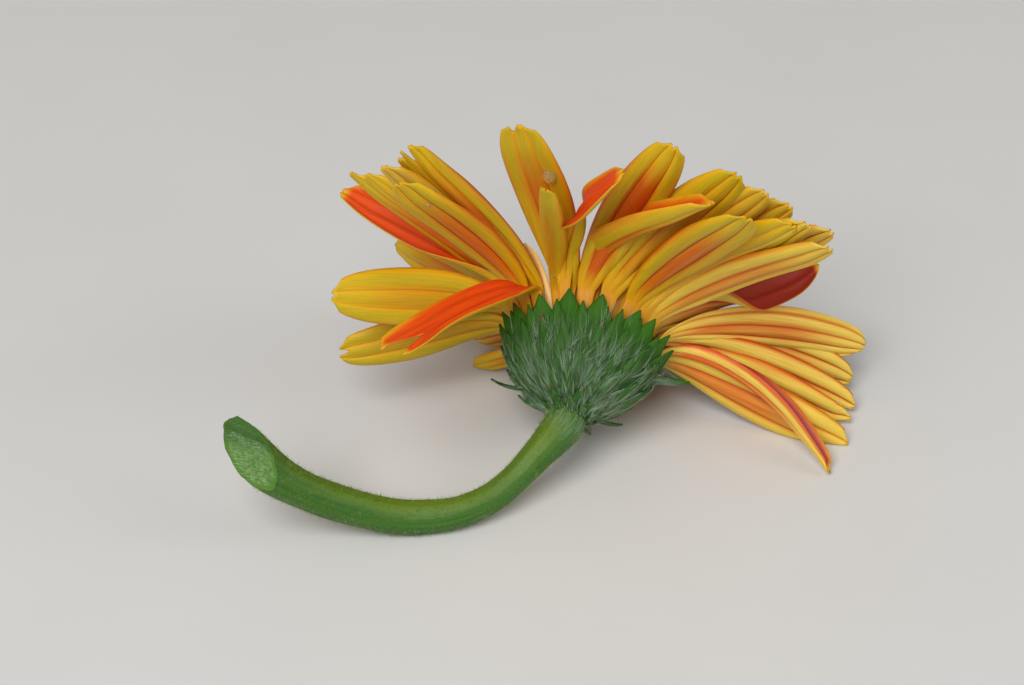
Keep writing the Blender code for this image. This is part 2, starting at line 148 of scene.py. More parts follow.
# Slender bracts that stand off the cup and its neck: place on the ring, root along the cup's
# line, length, how steeply they leave, width, how green and bare they are
STRAY_BRACTS = [
    (0.0, 0.35, 5.4, 6.0, 0.9, 0.3),
    (348.0, 0.12, 5.0, 24.0, 1.1, 0.4),
    (190.0, 0.7, 5.8, 12.0, 2.6, 1.0),
    (222.0, 0.16, 6.0, 22.0, 1.3, 0.4),
    (250.0, 0.1, 5.4, 14.0, 1.2, 0.4),
    (160.0, 0.5, 4.5, 40.0, 1.2, 0.3),
]
STRAY_STATIONS = 14
STRAY_STRIPS = 4
STRAY_HALF_THICKNESS = 0.16
STRAY_FLOOR = 0.3

# Ray petals stand in two rows, as in the solids. The rows of a petal's points stand closer toward
# its tip, the way along it is taken over a share of its length, and the last value is 1 on its
# upper side and 0 on its lower one
OUTER = "outer"
INNER = "inner"
ROOT = {OUTER: (9.3, -2.6), INNER: (7.9, -2.6)}
THROAT = {OUTER: (11.7, 1.4), INNER: (10.4, 1.9)}
FLOOR = {OUTER: 0.22, INNER: 1.3}
CLAW_RISE = math.radians(58.0)
CLAW_WIDTH = 0.26
CURVE_STEPS = 20
LINE_STEPS = 80
PETAL_STATIONS = 54
PETAL_STRIPS = 24
ROWS_TOWARD_TIP = 0.92
WAY_TAKEN_OVER = 0.02
UPPER_SIDE = np.array([[[1.0]], [[0.0]]])

# A petal's ridges: how far their middles lean to a side at most, and how round they are
RIDGE_LEAN = 0.12
RIDGE_ROUND = 0.7

# A petal's tip: where it begins and how far it curls; depth, place across and half width of its
# two teeth; how far its corners are rounded off; the notch's half width, at least and for each
# millimetre of depth; how wide the lobes beside it are, and how far each millimetre parts them
TIP_FROM = 0.8
TIP_CURL = 0.7
TOOTH_DEPTH = 0.12
TOOTH_PLACE = 1.0 / 3.0
TOOTH_WIDTH = 0.15
CORNER_ROUNDING = 1.5
NOTCH_LEAST = 0.28
NOTCH_FLARE = 0.08
LOBE_WIDTH = 0.4
LOBES_APART = 0.22

# Place on the ring in degrees, row, tip (beside the head's centre, and height), bow of its line
# forward, sway of it clockwise, width, twist in degrees, cup, where the twist begins and how
# long it takes, how far the line leaves the mouth straight and where its shoulder is; then how
# washed with orange the underside is, how pale, how deep the notch in its tip is and where
# across, ridges along it
Petal = namedtuple("Petal", "place row tip bow sway width twist cup fold over leave shoulder "
                            "wash pale notch split ridges",
                   defaults=(0.15, 0.6, 3.8, 0.62, 0.3, 0.0, 0.6, 0.0, 3))

SHOWN_PETALS = [
    Petal(308, OUTER, (-17, 13.5, 0.5), 1, 0, 5, 0, 0.2, wash=0.5),
    Petal(326, INNER, (-17, 17.5, 3), 1, 0, 5, 0, 0.2, wash=0.5, pale=0.6),
    Petal(350, OUTER, (-37, 0, 13), 1, 0, 8, 35, 0.1, wash=0.2, notch=1.6, split=0.1),
    Petal(352, INNER, (-30, 27, 15), 2, 0, 7.5, 20, 0.2, wash=0.6),
    Petal(12, OUTER, (-37, -6.5, 28.3), 1, 0, 8.8, 66, 0.1, wash=0.25),
    Petal(20, INNER, (-35, 6, 41), 2, 0, 5.5, 0, 0.2, wash=0.8),
    Petal(26, OUTER, (-37, 14, 33), 2, 0, 8.5, -80, 0.2, fold=0.1, over=0.6, wash=0.3),
    Petal(33, INNER, (-32.5, 4, 42), 2, 0, 5.5, 0, 0.2, wash=1.0),
    Petal(38, INNER, (-29.4, -5, 48.7), 2, 0, 7.5, 0, 0.2, wash=0.3, pale=0.4),
    Petal(40, OUTER, (-27, -10, 49), 2, 0, 8, 15, 0.1, wash=0.7),
    Petal(45, INNER, (-27, -5, 50), 2, 0, 6, 0, 0.2, wash=0.8),
    Petal(50, INNER, (-26, -7, 53), 2, 0, 5.2, 15, 0.6, wash=0.7, notch=3.5, split=-0.3),
    Petal(53, OUTER, (-28, -24.5, 30), 6, 0, 6.8, -38, 0.2, fold=0.1, over=0.4, leave=2.0, wash=0.3,
          notch=5.5, split=0.12),
    Petal(66, INNER, (-6.6, -18, 53), 2, 0, 4.2, 0, 0.4, wash=0.4, ridges=1),
    Petal(76, INNER, (-10.7, -11, 59), 2, 0, 8.5, 0, 0.1, wash=0.6, notch=1.6, split=-0.3),
    Petal(76.5, OUTER, (5, -16, 55), 0, -7.5, 5.8, 104, 0.2, fold=0.46, over=0.36, leave=7.0,
          wash=0.4),
    Petal(93, OUTER, (11, -13, 57), 2, 0, 8, 0, 0.2, wash=1.2),
    Petal(96, INNER, (17, -19, 51.2), 2, -5.5, 7.5, 60, 0.9, leave=6.5, shoulder=0.4, wash=0.6),
    Petal(110, OUTER, (20, -14, 53), 2, 0, 8, 0, 0.2, wash=0.35),
    Petal(119, INNER, (24, -14, 50), 2, 0, 7.5, 0, 0.2, wash=0.4, pale=0.2),
    Petal(127, INNER, (28, -11, 46), 2, 0, 7.5, 0, 0.2, wash=0.3, pale=0.2),
    Petal(129, OUTER, (21, -21, 50), 2, 0, 8.5, 0, 0.1, wash=0.7),
    Petal(135, INNER, (28, -16, 46), 2, 0, 7.5, 0, 0.2, wash=0.2),
    Petal(142, OUTER, (30, -16, 46), 2, 0, 8, 0, 0.2, wash=0.3, pale=0.3),
    Petal(147, INNER, (34, -12, 42.2), 2, 0, 7.5, 0, 0.2, wash=0.3, pale=0.5),
    Petal(153, OUTER, (33.2, -17, 42.6), 2, 0, 8, 0, 0.2, wash=0.5, pale=0.5),
    Petal(168, INNER, (36, 10, 23), 2, 6.5, 9.2, 95, 0.2, fold=0.46, over=0.24, wash=0.6, pale=0.8),
    Petal(178, OUTER, (44, 9, 8), 3, -1.5, 8, -20, 0.2, wash=0.6, pale=0.8, ridges=4),
    Petal(188, INNER, (42, 7, 3), 3, 0, 8, -20, 0.2, wash=0.6, pale=0.8),
    Petal(196, INNER, (42, 2, 1), 2, 0, 8, -25, 0.2, wash=0.8, pale=0.8),
    Petal(203, OUTER, (36, -13, 0), 8, -3, 5, 40, 0.9, wash=1.0, pale=0.9),
    Petal(208, INNER, (41, -1, 0), 1, 0, 8, -30, 0.2, wash=0.8, pale=0.7),
    Petal(216, OUTER, (40, -6, 0), 0, 0, 8.5, -35, 0.2, wash=0.6, pale=0.6),
]

# The petals below and behind the head, by the same rule as in the solids
HIDDEN_PLACES = (224.0, 330.0)
HIDDEN_COUNT = 13
HIDDEN_ASIDE = 1.5
HIDDEN_REACH = (30.0, 35.0)
HIDDEN_RISE = (20, 32)
HIDDEN_WIDTH = (7.4, 8.4)
HIDDEN_BOW = 2.0
HIDDEN_CUP = 0.15
HIDDEN_FLOOR = {OUTER: 0.36, INNER: 1.56}
PRESSED = 0.8

# Inner florets in rings: radius, length, rise in degrees
STRAP_RINGS = [(5.0, 9.6, 84.0), (5.5, 11.6, 76.0), (6.0, 14.6, 66.0)]
STRAP_WIDTH = 2.0
STRAP_HALF_THICKNESS = 0.14
STRAP_BEND = math.radians(26.0)
STRAP_FOOT = CUP_TOP + 0.9
STRAP_STATIONS = 16
STRAP_STRIPS = 8

# How much the straps differ in place on the ring, in length and in rise
STRAP_TURN = 0.08
STRAP_LONGER = (-1.2, 0.8)
STRAP_STEEPER = 6.0

# Disc: a dome packed with florets by the golden angle, buds inside and open ones outside
DISC_RADIUS = 4.3
DISC_SHOULDER = -2.6
DISC_DOME = 2.0
DISC_SKIRT = 1.3
DOME_STEPS = 8
DOME_SIDES = 48
GOLDEN_ANGLE = math.radians(137.508)
OPEN_FROM = 0.62
FLORET_LEAN = 0.6
FLORET_SIDES = 10

# Outlines of a bud and of an open floret from the foot up: radius, height, spread of its lobes
BUD = [(0.2, -0.6, 0.0), (0.26, 0.4, 0.0), (0.33, 0.9, 0.0), (0.36, 1.15, 0.0), (0.3, 1.4, 0.02),
       (0.16, 1.6, 0.03), (0.05, 1.66, 0.0)]
TRUMPET = [(0.2, -0.6, 0.0), (0.24, 0.5, 0.0), (0.3, 1.3, 0.0), (0.42, 1.75, 0.0),
           (0.5, 1.95, 0.32), (0.42, 1.9, 0.2), (0.24, 1.7, 0.0), (0.12, 1.3, 0.0)]

# Styles: heights over the floret's foot, where the two arms part, and how far they do
STYLE_HEIGHTS = (1.0, 1.8, 2.3, 2.7, 3.1)
STYLE_FORK = 2.2
STYLE_SPREAD = 0.75
STYLE_RADIUS = 0.08

# Stem: its centre line after it leaves the head, from the neck to the cut end, as in the solids
STEM_LINE = [(-6.9, -17.3, 8.0), (-10.5, -20.3, 5.6), (-14.1, -22.7, 3.8), (-18.4, -24.5, 2.8),
             (-22.8, -25.2, 2.4), (-27.8, -25.7, 2.8), (-34.1, -26.3, 5.1), (-40.4, -27.8, 9.2),
             (-45.4, -28.8, 13.7), (-51.4, -31.0, 22.3)]
STEM_RADII = (2.8, 3.0, 2.35, 2.1, 2.1, 2.25, 2.45, 2.5, 2.6, 2.65, 3.05, 3.7)
STEM_NECK = ((0.3, 0.0, CUP_FOOT + 1.5), (0.8, 0.0, CUP_FOOT - 1.0))
STEM_STEPS = 14
STEM_PAST_CUT = 8.0
STEM_SIDES = 48
STEM_STATIONS = 149

# The slanting cut at the stem's end: its plane, and the rings of its face from the rim inward
CUT_POINT = np.array((-47.4, -29.6, 16.4)) + PLAN
CUT_NORMAL = np.array((-0.32, -0.914, 0.25))
CUT_RINGS = (1.0, 0.985, 0.95, 0.9, 0.84, 0.76, 0.66, 0.55, 0.43, 0.3, 0.16)
CUT_SEARCH_STEPS = 399
WELD_DISTANCE = 0.000001

# Hairs of the stem: the parts of a hair, how deep its root sits in the skin, the least and the
# greatest share of the usual length (of a wool hair too), and how unevenly the hairs lean and bend
HAIR_STEPS = 3
HAIR_ROOT = 0.05
HAIR_LENGTHS = (0.4, 1.3)
HAIR_LEAN = 0.35
HAIR_BEND = 0.25

# Water drops on undersides: place of the petal that carries it, then the drop's place along and
# across it, and its radius
DROPS = [(76, 0.775, 0.6, 1.05), (40, 0.86, 0.2, 0.3), (66, 0.32, 0.1, 0.28),
         (76.5, 0.2, 0.2, 0.24), (216, 0.3, -0.35, 0.25)]
DROP_FOOT = 0.18
DROP_HEIGHT = 0.9
DROP_STEPS = 13
DROP_SIDES = 40

# Stage, in metres: the floor's width, and the place and width of each light
FLOOR_SIZE = 6.0
KEY_LIGHT = ((-0.35, -0.9, 1.05), 0.9)
FILL_LIGHT = ((0.95, -0.35, 0.55), 0.8)
SKY_COLOUR = (0.95, 0.97, 1.0, 1.0)


def linear(red, green, blue):
    """A colour given as the eye reads it on a screen, 0 to 255, as a linear colour."""
    shares = (value / 255.0 for value in (red, green, blue))
    return tuple(v / 12.92 if v <= 0.04045 else ((v + 0.055) / 1.055) ** 2.4 for v in shares)


def tint(name, description, red, green, blue):
    """A colour that a user can change, given as the eye reads it on a screen."""
    return FloatVectorProperty(name=name, description=description, default=linear(red, green, blue),
                               subtype="COLOR", min=0.0, max=1.0)


def measure(name, description, size, least):
    """A length that a user can change, with its least value, both given in millimetres."""
    return FloatProperty(name=name, description=description, default=size * MM, min=least * MM,
                         unit="LENGTH")


def smooth(t):
    t = np.clip(t, 0.0, 1.0)
    return t * t * (3.0 - 2.0 * t)


def unit(vectors):
    return vectors / np.linalg.norm(vectors, axis=-1, keepdims=True)


def outward(azimuth):
    """The way from the ring's middle to a place on it."""
    return np.stack([np.cos(azimuth), np.sin(azimuth), np.zeros_like(azimuth)], -1)


def clockwise(azimuth):
    """The way round the ring as the front sees it."""
    return np.stack([-np.sin(azimuth), np.cos(azimuth), np.zeros_like(azimuth)], -1)


def leaning(azimuth, rise):
    """A way outward from the ring that rises at an angle."""
    rise = np.asarray(rise)[..., None]
    return outward(azimuth) * np.cos(rise) + UP * np.sin(rise)


def ring_point(azimuth, radius, height):
    """A point of the head's frame at a radius and a height."""
    return outward(azimuth) * np.asarray(radius)[..., None] + UP * np.asarray(height)[..., None]


def from_head(points):
    """Points of the head's own frame in the flower's plan."""
    return points @ HEAD_TURNED.T + HEAD_CENTRE


def to_head(points):
    """Points of the flower's plan in the head's own frame."""
    return (points - HEAD_CENTRE) @ HEAD_TURNED


def above_surface(points, floor):
    """Lift the points of the head's frame that are lower than the floor, with a soft knee."""
    above = points @ GROUND_UP + HEAD_HEIGHT - floor
    kept = 0.5 * (above + np.sqrt(above * above + SOFT_KNEE))
    return points + GROUND_UP * (kept - above)[..., None]


def read_line(places, line, at):
    """Values of a line of vectors between its places."""
    return np.stack([np.interp(at, places, line[:, k]) for k in range(line.shape[1])], -1)


def distances(line):
    """How far along a line of points each of them is."""
    return np.concatenate([[0.0], np.cumsum(np.linalg.norm(np.diff(line, axis=0), axis=1))])


def carried(along, side):
    """A way across a line, carried from its first point to its last without turning round it."""
    across = []
    for way in along:
        side = unit(side - way * side.dot(way))
        across.append(side)
    return np.array(across)


def span(count, start=0.0, end=1.0):
    """Places at both ends of a range and between them, one more than the count of its parts."""
    return np.linspace(start, end, count + 1)


def ring_angles(count):
    """Even angles round a ring, without its first one again at the end."""
    return np.arange(count) * (2.0 * math.pi / count)


def grid(rows, columns):
    """The row and column values at each place of a grid."""
    return np.meshgrid(rows, columns, indexing="ij")


class Wire:
    """A node's output, which takes part in Python expressions."""

    def __init__(self, paint, socket):
        self.paint = paint
        self.socket = socket

    def math(self, operation, *values):
        return self.paint.node("ShaderNodeMath", {"operation": operation}, dict(enumerate(values)))

    def __add__(self, other):
        return self.math("ADD", self, other)

    def __sub__(self, other):
        return self.math("SUBTRACT", self, other)

    def __rsub__(self, other):
        return self.math("SUBTRACT", other, self)

    def __mul__(self, other):
        return self.math("MULTIPLY", self, other)

    def __abs__(self):
        return self.math("ABSOLUTE", self)

    __radd__ = __add__
    __rmul__ = __mul__


class Paint:
    """A material, and the ways that its nodes are made."""

    def __init__(self, name):
        self.material = bpy.data.materials.new(name)
        self.material.use_nodes = True
        self.tree = self.material.node_tree
        self.tree.nodes.clear()

    def node(self, kind, settings, sockets, output=0):
        made = self.tree.nodes.new(kind)
        for name, value in settings.items():
            setattr(made, name, value)
        for key, value in sockets.items():
            socket = made.inputs[key]
            if isinstance(value, Wire):
                self.tree.links.new(value.socket, socket)
            else:
                socket.default_value = (*value, 1.0) if socket.type == "RGBA" else value
        return Wire(self, made.outputs[output]) if made.outputs else None

    def value(self, name, output="Fac"):
        return self.node("ShaderNodeAttribute", {"attribute_name": name}, {}, output)

    def mix(self, share, first, second):
        return self.node("ShaderNodeMix", {"data_type": "RGBA"}, {0: share, 6: first, 7: second}, 2)

    def step(self, value, low, high):
        """0 below the low value, 1 above the high one, and smooth between."""
        sockets = {"Value": value, "From Min": low, "From Max": high}
        return self.node("ShaderNodeMapRange", {"interpolation_type": "SMOOTHSTEP"}, sockets)

    def grain(self, place, stretch, detail=2.0):
        """Noise from 0 to 1, with so many lumps a millimetre along each axis of the place."""
        factors = {0: place, 1: stretch}
        scaled = self.node("ShaderNodeVectorMath", {"operation": "MULTIPLY"}, factors)
        sockets = {"Vector": scaled, "Scale": 1.0, "Detail": detail}
        return self.node("ShaderNodeTexNoise", {}, sockets)

    def finish(self, colour, roughness, height, depth, constants):
        """Join the colour, the roughness and a height, in millimetres of depth, to the surface."""
        bump = self.node("ShaderNodeBump", {}, {"Height": height, "Distance": depth * MM}, "Normal")
        sockets = {"Base Color": colour, "Roughness": roughness, "Normal": bump, **constants}
        shader = self.node("ShaderNodeBsdfPrincipled", {}, sockets)
        self.node("ShaderNodeOutputMaterial", {}, {"Surface": shader})
        return self.material


def petal_paint(look):
    """Underside yellow, olive crests, orange wash, brown grooves partly painted shade; upper side
    orange-red.
    """
    paint = Paint("petal")
    place = paint.value("place", "Vector")
    along = paint.value("along")
    edge = abs(paint.value("across"))
    crest = paint.value("crest")
    wash = paint.value("wash")
    pale = paint.value("pale")
    streaks = paint.grain(place, (2.6, 0.1, 1.0), 3.0)
    threads = paint.grain(place, (9.0, 0.25, 1.0), 2.0)
    clouds = paint.grain(place, (0.35, 0.09, 1.0), 2.0)
    grown = paint.step(along, 0.1, 0.5)
    margin = paint.step(edge, 0.8, 1.0)

    olive = paint.step(crest * 0.7 + clouds * 0.6, 0.55, 1.15)
    lit = paint.mix(olive * grown, look.under, look.crest)
    lit = paint.mix(pale * paint.step(crest + streaks * 0.4, 0.35, 1.0), lit, look.cream)
    middle = 1.0 - paint.step(edge, 0.1, 0.6)
    band = paint.step(along, 0.14, 0.42) * (1.0 - paint.step(along, 0.68, 0.95))
    valley = 1.0 - paint.step(crest, 0.1, 0.85)
    flush = (middle * 1.1 + valley * 0.7 + margin * 0.4) * band * wash
    flush = flush + wash * (streaks - 0.42) * band * 1.6
    lit = paint.mix(flush, lit, look.wash)
    blush = pale * (1.0 - paint.step(crest + streaks * 0.3, 0.35, 0.9)) * grown
    lit = paint.mix(blush * (0.45 + wash * 0.55), lit, look.blush)
    # The brown along the grooves is partly the petal's own lines and partly painted shade in the
    # grooves.
    groove = (1.0 - paint.step(crest, 0.0, 0.4)) * grown * (1.0 - margin)
    lit = paint.mix(groove * 0.95, lit, look.groove)
    lit = paint.mix((1.0 - paint.step(along, 0.08, 0.34)) * (1.0 - pale * 0.6), lit, look.base)
    under = paint.mix((threads - 0.42) * 0.5, lit, look.groove)

    flame = paint.mix(paint.step(streaks, 0.4, 0.75) * 0.8, look.upper, look.upper_deep)
    flame = paint.mix(1.0 - paint.step(along, 0.15, 0.5), flame, look.upper_deep)
    rim = paint.step(edge * 0.75 + along * 0.4 + clouds * 0.2, 1.02, 1.24)
    rim = rim + (1.0 - rim) * paint.step(along, 0.955, 0.985)
    flame = paint.mix(rim * 0.8, flame, look.under)
    flame = paint.mix((threads - 0.4) * 0.5, flame, look.upper_deep)
    # Painted shade: the upper side of pale petals is darkened to dark red.
    flame = paint.mix(pale * (1.0 - rim), flame, look.upper_painted_shade)
    colour = paint.mix(paint.value("upper"), under, flame)
    height = threads * 0.5 + streaks * 0.5
    roughness = 0.4 + clouds * 0.2
    constants = {"Subsurface Weight": 0.1, "Subsurface Radius": (1.0, 0.4, 0.05),
                 "Subsurface Scale": 0.5 * MM, "Specular IOR Level": 0.35}
    return paint.finish(colour, roughness, height, 0.12, constants)


def bract_paint(look):
    """Green with fine veins, painted shade at the roots, bare bright tips at the mouth, streaked
    with down elsewhere.
    """
    paint = Paint("bract")
    place = paint.value("place", "Vector")
    along = paint.value("along")
    edge = abs(paint.value("across"))
    bare = paint.value("bare")
    veins = paint.grain(place, (4.0, 0.2, 1.0), 3.0)
    clouds = paint.grain(place, (0.8, 0.25, 1.0), 2.0)
    down = paint.grain(place, (1.6, 0.3, 1.0), 3.0)
    wisps = paint.grain(place, (7.0, 0.3, 1.0), 4.0)
    green = paint.mix(paint.step(veins, 0.3, 0.7), look.bract, look.bract_deep)
    green = paint.mix(paint.step(clouds, 0.45, 0.75) * 0.5, green, look.bract_deep)
    # Painted shade: each bract darkens toward its root, where the bract above covers it.
    green = paint.mix((1.0 - paint.step(along, 0.1, 0.6)) * 0.7, green, look.bract_deep)
    naked = bare * paint.step(along, 0.3, 0.8)
    cover = paint.step(down + wisps * 0.3 - naked * 0.5, 0.4, 0.8)
    colour = paint.mix(cover * (0.25 + paint.step(along, 0.2, 0.7) * 0.35), green, look.down)
    colour = paint.mix(naked * 0.9, colour, paint.mix(veins, look.bract_tip, look.bract))
    white = paint.step(wisps + edge * 0.12 - naked * 0.3, 0.56, 0.74)
    colour = paint.mix(white * 0.5, colour, look.wool)
    dry = paint.value("dry") * paint.step(along + clouds * 0.3, 0.98, 1.12)
    colour = paint.mix(dry, colour, look.dry)
    return paint.finish(colour, 0.6 + wisps * 0.25, veins * 0.5 + wisps * 0.5, 0.2,
                        {"Specular IOR Level": 0.2})


def hair_paint(name, colour, deep, weight):
    """Hairs of one colour, some of them deeper, that let a share of the light through."""
    paint = Paint(name)
    place = paint.value("place", "Vector")
    tone = paint.grain(place, (0.9, 0.9, 0.9), 2.0)
    shade = paint.mix(paint.step(tone, 0.35, 0.7), colour, deep)
    return paint.finish(shade, 0.55 + tone * 0.2, tone, 0.02,
                        {"Subsurface Weight": weight, "Subsurface Scale": 0.3 * MM})


def stem_paint(look):
    """Juicy green, finely striped along it, with pale specks; painted light on its top, painted
    shade below.
    """
    paint = Paint("stem_skin")
    place = paint.value("place", "Vector")
    stripes = paint.grain(place, (1.6, 0.06, 1.0), 3.0)
    specks = paint.grain(place, (4.0, 2.6, 1.0), 2.0)
    clouds = paint.grain(place, (0.25, 0.1, 1.0), 2.0)
    wisps = paint.grain(place, (5.0, 0.35, 1.0), 4.0)
    green = paint.mix(paint.step(stripes, 0.3, 0.7) * 0.5, look.skin, look.skin_light)
    # Painted light: the stem's upper side is made lighter and yellower.
    upper = paint.step(paint.value("top") + clouds * 0.6, 0.6, 1.4)
    green = paint.mix(upper * 0.8, green, look.skin_painted_light)
    green = paint.mix(paint.step(specks, 0.6, 0.74) * 0.55, green, look.skin_light)
    # Painted shade: the stem's lower side is made deeper green.
    lower = paint.step(paint.value("low") + clouds * 0.3, 0.5, 1.3)
    green = paint.mix(lower * 0.7, green, look.skin_deep)
    collar = paint.value("collar")
    green = paint.mix(collar * 0.45, green, look.skin_deep)
    green = paint.mix(collar * paint.step(wisps, 0.42, 0.62) * 0.4, green, look.skin_down)
    return paint.finish(green, 0.42 + specks * 0.25, stripes * 0.4 + specks * 0.6, 0.12,
                        {"Subsurface Weight": 0.08, "Subsurface Scale": 0.8 * MM})


def cut_paint(look):
    """The cut face: pale watery pith inside a darker green rind."""
    paint = Paint("stem_cut")
    place = paint.value("place", "Vector")
    radial = paint.value("radial")
    cells = paint.grain(place, (1.6, 1.6, 1.6), 4.0)
    fibres = paint.grain(place, (0.5, 4.0, 1.0), 3.0)
    pith = paint.mix(paint.step(cells + fibres * 0.4, 0.45, 0.95), look.pith, look.pith_pale)
    ring = paint.step(radial + cells * 0.12, 0.84, 0.97)
    colour = paint.mix(ring, pith, look.skin_light)
    dark = paint.step(paint.value("top") + cells * 0.25, 0.62, 0.85)
    colour = paint.mix(dark * 0.75, colour, look.skin)
    return paint.finish(colour, 0.25 + cells * 0.3, cells * 0.6 + fibres * 0.4, 0.35,
                        {"Subsurface Weight": 0.2, "Subsurface Scale": 1.0 * MM})


def strap_paint(look):
    """Cream at the foot, warmer up the strap, orange on some tips."""
    paint = Paint("inner_floret")
    place = paint.value("place", "Vector")
    along = paint.value("along")
    veins = paint.grain(place, (6.0, 0.4, 1.0), 3.0)
    colour = paint.mix(paint.step(along, 0.05, 0.75), look.strap_foot, look.strap)
    blush = paint.step(along, 0.6, 1.0) * paint.step(paint.value("tone"), 0.55, 1.0)
    colour = paint.mix(blush * 0.8, colour, look.strap_tip)
    colour = paint.mix((veins - 0.4) * 0.35, colour, look.strap_tip)
    return paint.finish(colour, 0.42 + veins * 0.2, veins, 0.1,
                        {"Subsurface Weight": 0.15, "Subsurface Scale": 0.5 * MM})


def disc_paint(look):
    """Yellow-green buds in the middle, golden open florets round them, with painted shade at their
    feet.
    """
    paint = Paint("disc_floret")
    place = paint.value("place", "Vector")
    along = paint.value("along")
    tone = paint.value("tone")
    grain = paint.grain(place, (3.0, 3.0, 3.0), 3.0)
    colour = paint.mix(paint.step(tone + grain * 0.3, 0.35, 0.95), look.bud, look.disc)
    colour = paint.mix(paint.step(along, 0.55, 0.95) * 0.7, colour, look.disc_tip)
    # Painted shade: each floret's foot and the dome between the florets are darkened.
    colour = paint.mix(1.0 - paint.step(along, 0.0, 0.35), colour, look.disc_painted_shade)
    return paint.finish(colour, 0.45 + grain * 0.2, grain, 0.1,
                        {"Subsurface Weight": 0.1, "Subsurface Scale": 0.4 * MM})


def water_paint():
    """Clear water, faintly warm."""
    paint = Paint("water")
    sockets = {"Base Color": (1.0, 0.97, 0.85), "Roughness": 0.03, "IOR": 1.36,
               "Transmission Weight": 0.93}
    shader = paint.node("ShaderNodeBsdfPrincipled", {}, sockets)
    paint.node("ShaderNodeOutputMaterial", {}, {"Surface": shader})
    return paint.material


def floor_paint(look):
    """The stage's floor, barely mottled."""
    paint = Paint("pale_floor")
    place = paint.node("ShaderNodeTexCoord", {}, {}, "Object")
    mottle = paint.grain(place, (30.0, 30.0, 30.0), 4.0)
    colour = paint.mix(mottle, look.floor, tuple(0.93 * v for v in look.floor))
    return paint.finish(colour, 0.6 + mottle * 0.1, mottle, 0.05, {})


class Bunch:
    """A piece's points, faces and material values, gathered from closed shapes."""

    def __init__(self):
        self.points = []
        self.faces = []
        self.values = {}
        self.count = 0

    def add(self, points, faces, **values):
        """Points in millimetres in plan, faces as rows of their indices, and values of the points.

        A value is a number or a vector, one for all the points or spread over them.
        """
        *shape, _ = points.shape
        for name, value in values.items():
            value = np.asarray(value, float)
            size = (3,) if value.shape[-1:] == (3,) else ()
            spread = np.broadcast_to(value, (*shape, *size)).reshape(-1, *size)
            self.values.setdefault(name, []).append(spread)
        self.points.append(points.reshape(-1, 3))
        self.faces.extend((block + self.count).tolist() for block in faces)
        self.count += math.prod(shape)

    def mesh(self, name):
        mesh = bpy.data.meshes.new(name)
        points = np.concatenate(self.points) * MM
        mesh.from_pydata(points.tolist(), [], [face for block in self.faces for face in block])
        for key, parts in self.values.items():
            joined = np.concatenate(parts)
            kind, field = ("FLOAT_VECTOR", "vector") if joined.ndim > 1 else ("FLOAT", "value")
            layer = mesh.attributes.new(key, kind, "POINT")
            layer.data.foreach_set(field, joined.astype(np.float32).ravel())
        mesh.shade_smooth()
        return mesh

    def piece(self, name, material):
        mesh = self.mesh(name)
        mesh.materials.append(material)
        return linked(name, mesh)


def dress(piece, slot, *nodes):
    """The piece rides on the flower's body and stands for nodes; the slot is not used."""
    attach(piece, "root")
    if nodes:
        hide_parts(*nodes)


def grid_faces(index):
    """Quads of a grid of point numbers, facing the way from its rows to its columns."""
    corners = [index[:-1, :-1], index[1:, :-1], index[1:, 1:], index[:-1, 1:]]
    return np.stack(corners, -1).reshape(-1, 4)


def blade_faces(rows, columns):
    """Faces of a closed blade: its upper grid, its lower grid turned over, and the rim."""
    count = rows * columns
    index = np.arange(count).reshape(rows, columns)
    top = grid_faces(index)
    rim = np.concatenate([index[0, :-1], index[:-1, -1], index[-1, :0:-1], index[:0:-1, 0]])
    ahead = np.roll(rim, -1)
    sides = np.stack([rim, ahead, ahead + count, rim + count], -1)
    return [top, top[:, ::-1] + count, sides]


def blade_sides(middle, half_thickness):
    """Upper and lower points of a blade round its middle surface."""
    normal = unit(np.cross(np.gradient(middle, axis=0), np.gradient(middle, axis=1)))
    lift = normal * np.broadcast_to(half_thickness, middle.shape[:2])[..., None]
    return np.stack([middle + lift, middle - lift])


def tube_faces(rows, columns, closed_foot=True, closed_top=True):
    """Faces of a tube whose rows are rings of points, with caps as one face each."""
    index = np.arange(rows * columns).reshape(rows, columns)
    wrapped = np.concatenate([index, index[:, :1]], 1)
    faces = [grid_faces(wrapped)[:, ::-1]]
    if closed_foot:
        faces.append(index[:1, ::-1])
    if closed_top:
        faces.append(index[-1:])
    return faces


def add_strands(bunch, lines, radius, draw):
    """Thin three-sided hairs along lines of points, from their radius to a fine tip."""
    count, steps = lines.shape[:2]
    along = unit(np.gradient(lines, axis=1))
    side = unit(np.cross(along, draw.normal(size=(count, 1, 3))))
    up = np.cross(along, side)
    taper = (1.0 - span(steps - 1) ** 2 * 0.9) * radius
    turns = ring_angles(3)
    offset = side[:, :, None] * np.cos(turns)[:, None] + up[:, :, None] * np.sin(turns)[:, None]
    points = lines[:, :, None] + offset * taper[:, None, None]
    starts = np.arange(count)[:, None, None] * (steps * 3)
    blocks = [(starts + block).reshape(-1, block.shape[1]) for block in tube_faces(steps, 3)]
    bunch.add(points, blocks, place=lines[:, :1, None])


def grain_place(across, along, blade):
    """Where a blade's grain is read: across it, along it, and apart from that of other blades."""
    return np.stack([across, along, np.full_like(along, blade)], -1)


def add_blade(bunch, middle, thick, **values):
    """A closed blade round a middle surface of the head's frame, with values for its points."""
    bunch.add(from_head(blade_sides(middle, thick)), blade_faces(*middle.shape[:2]), **values)


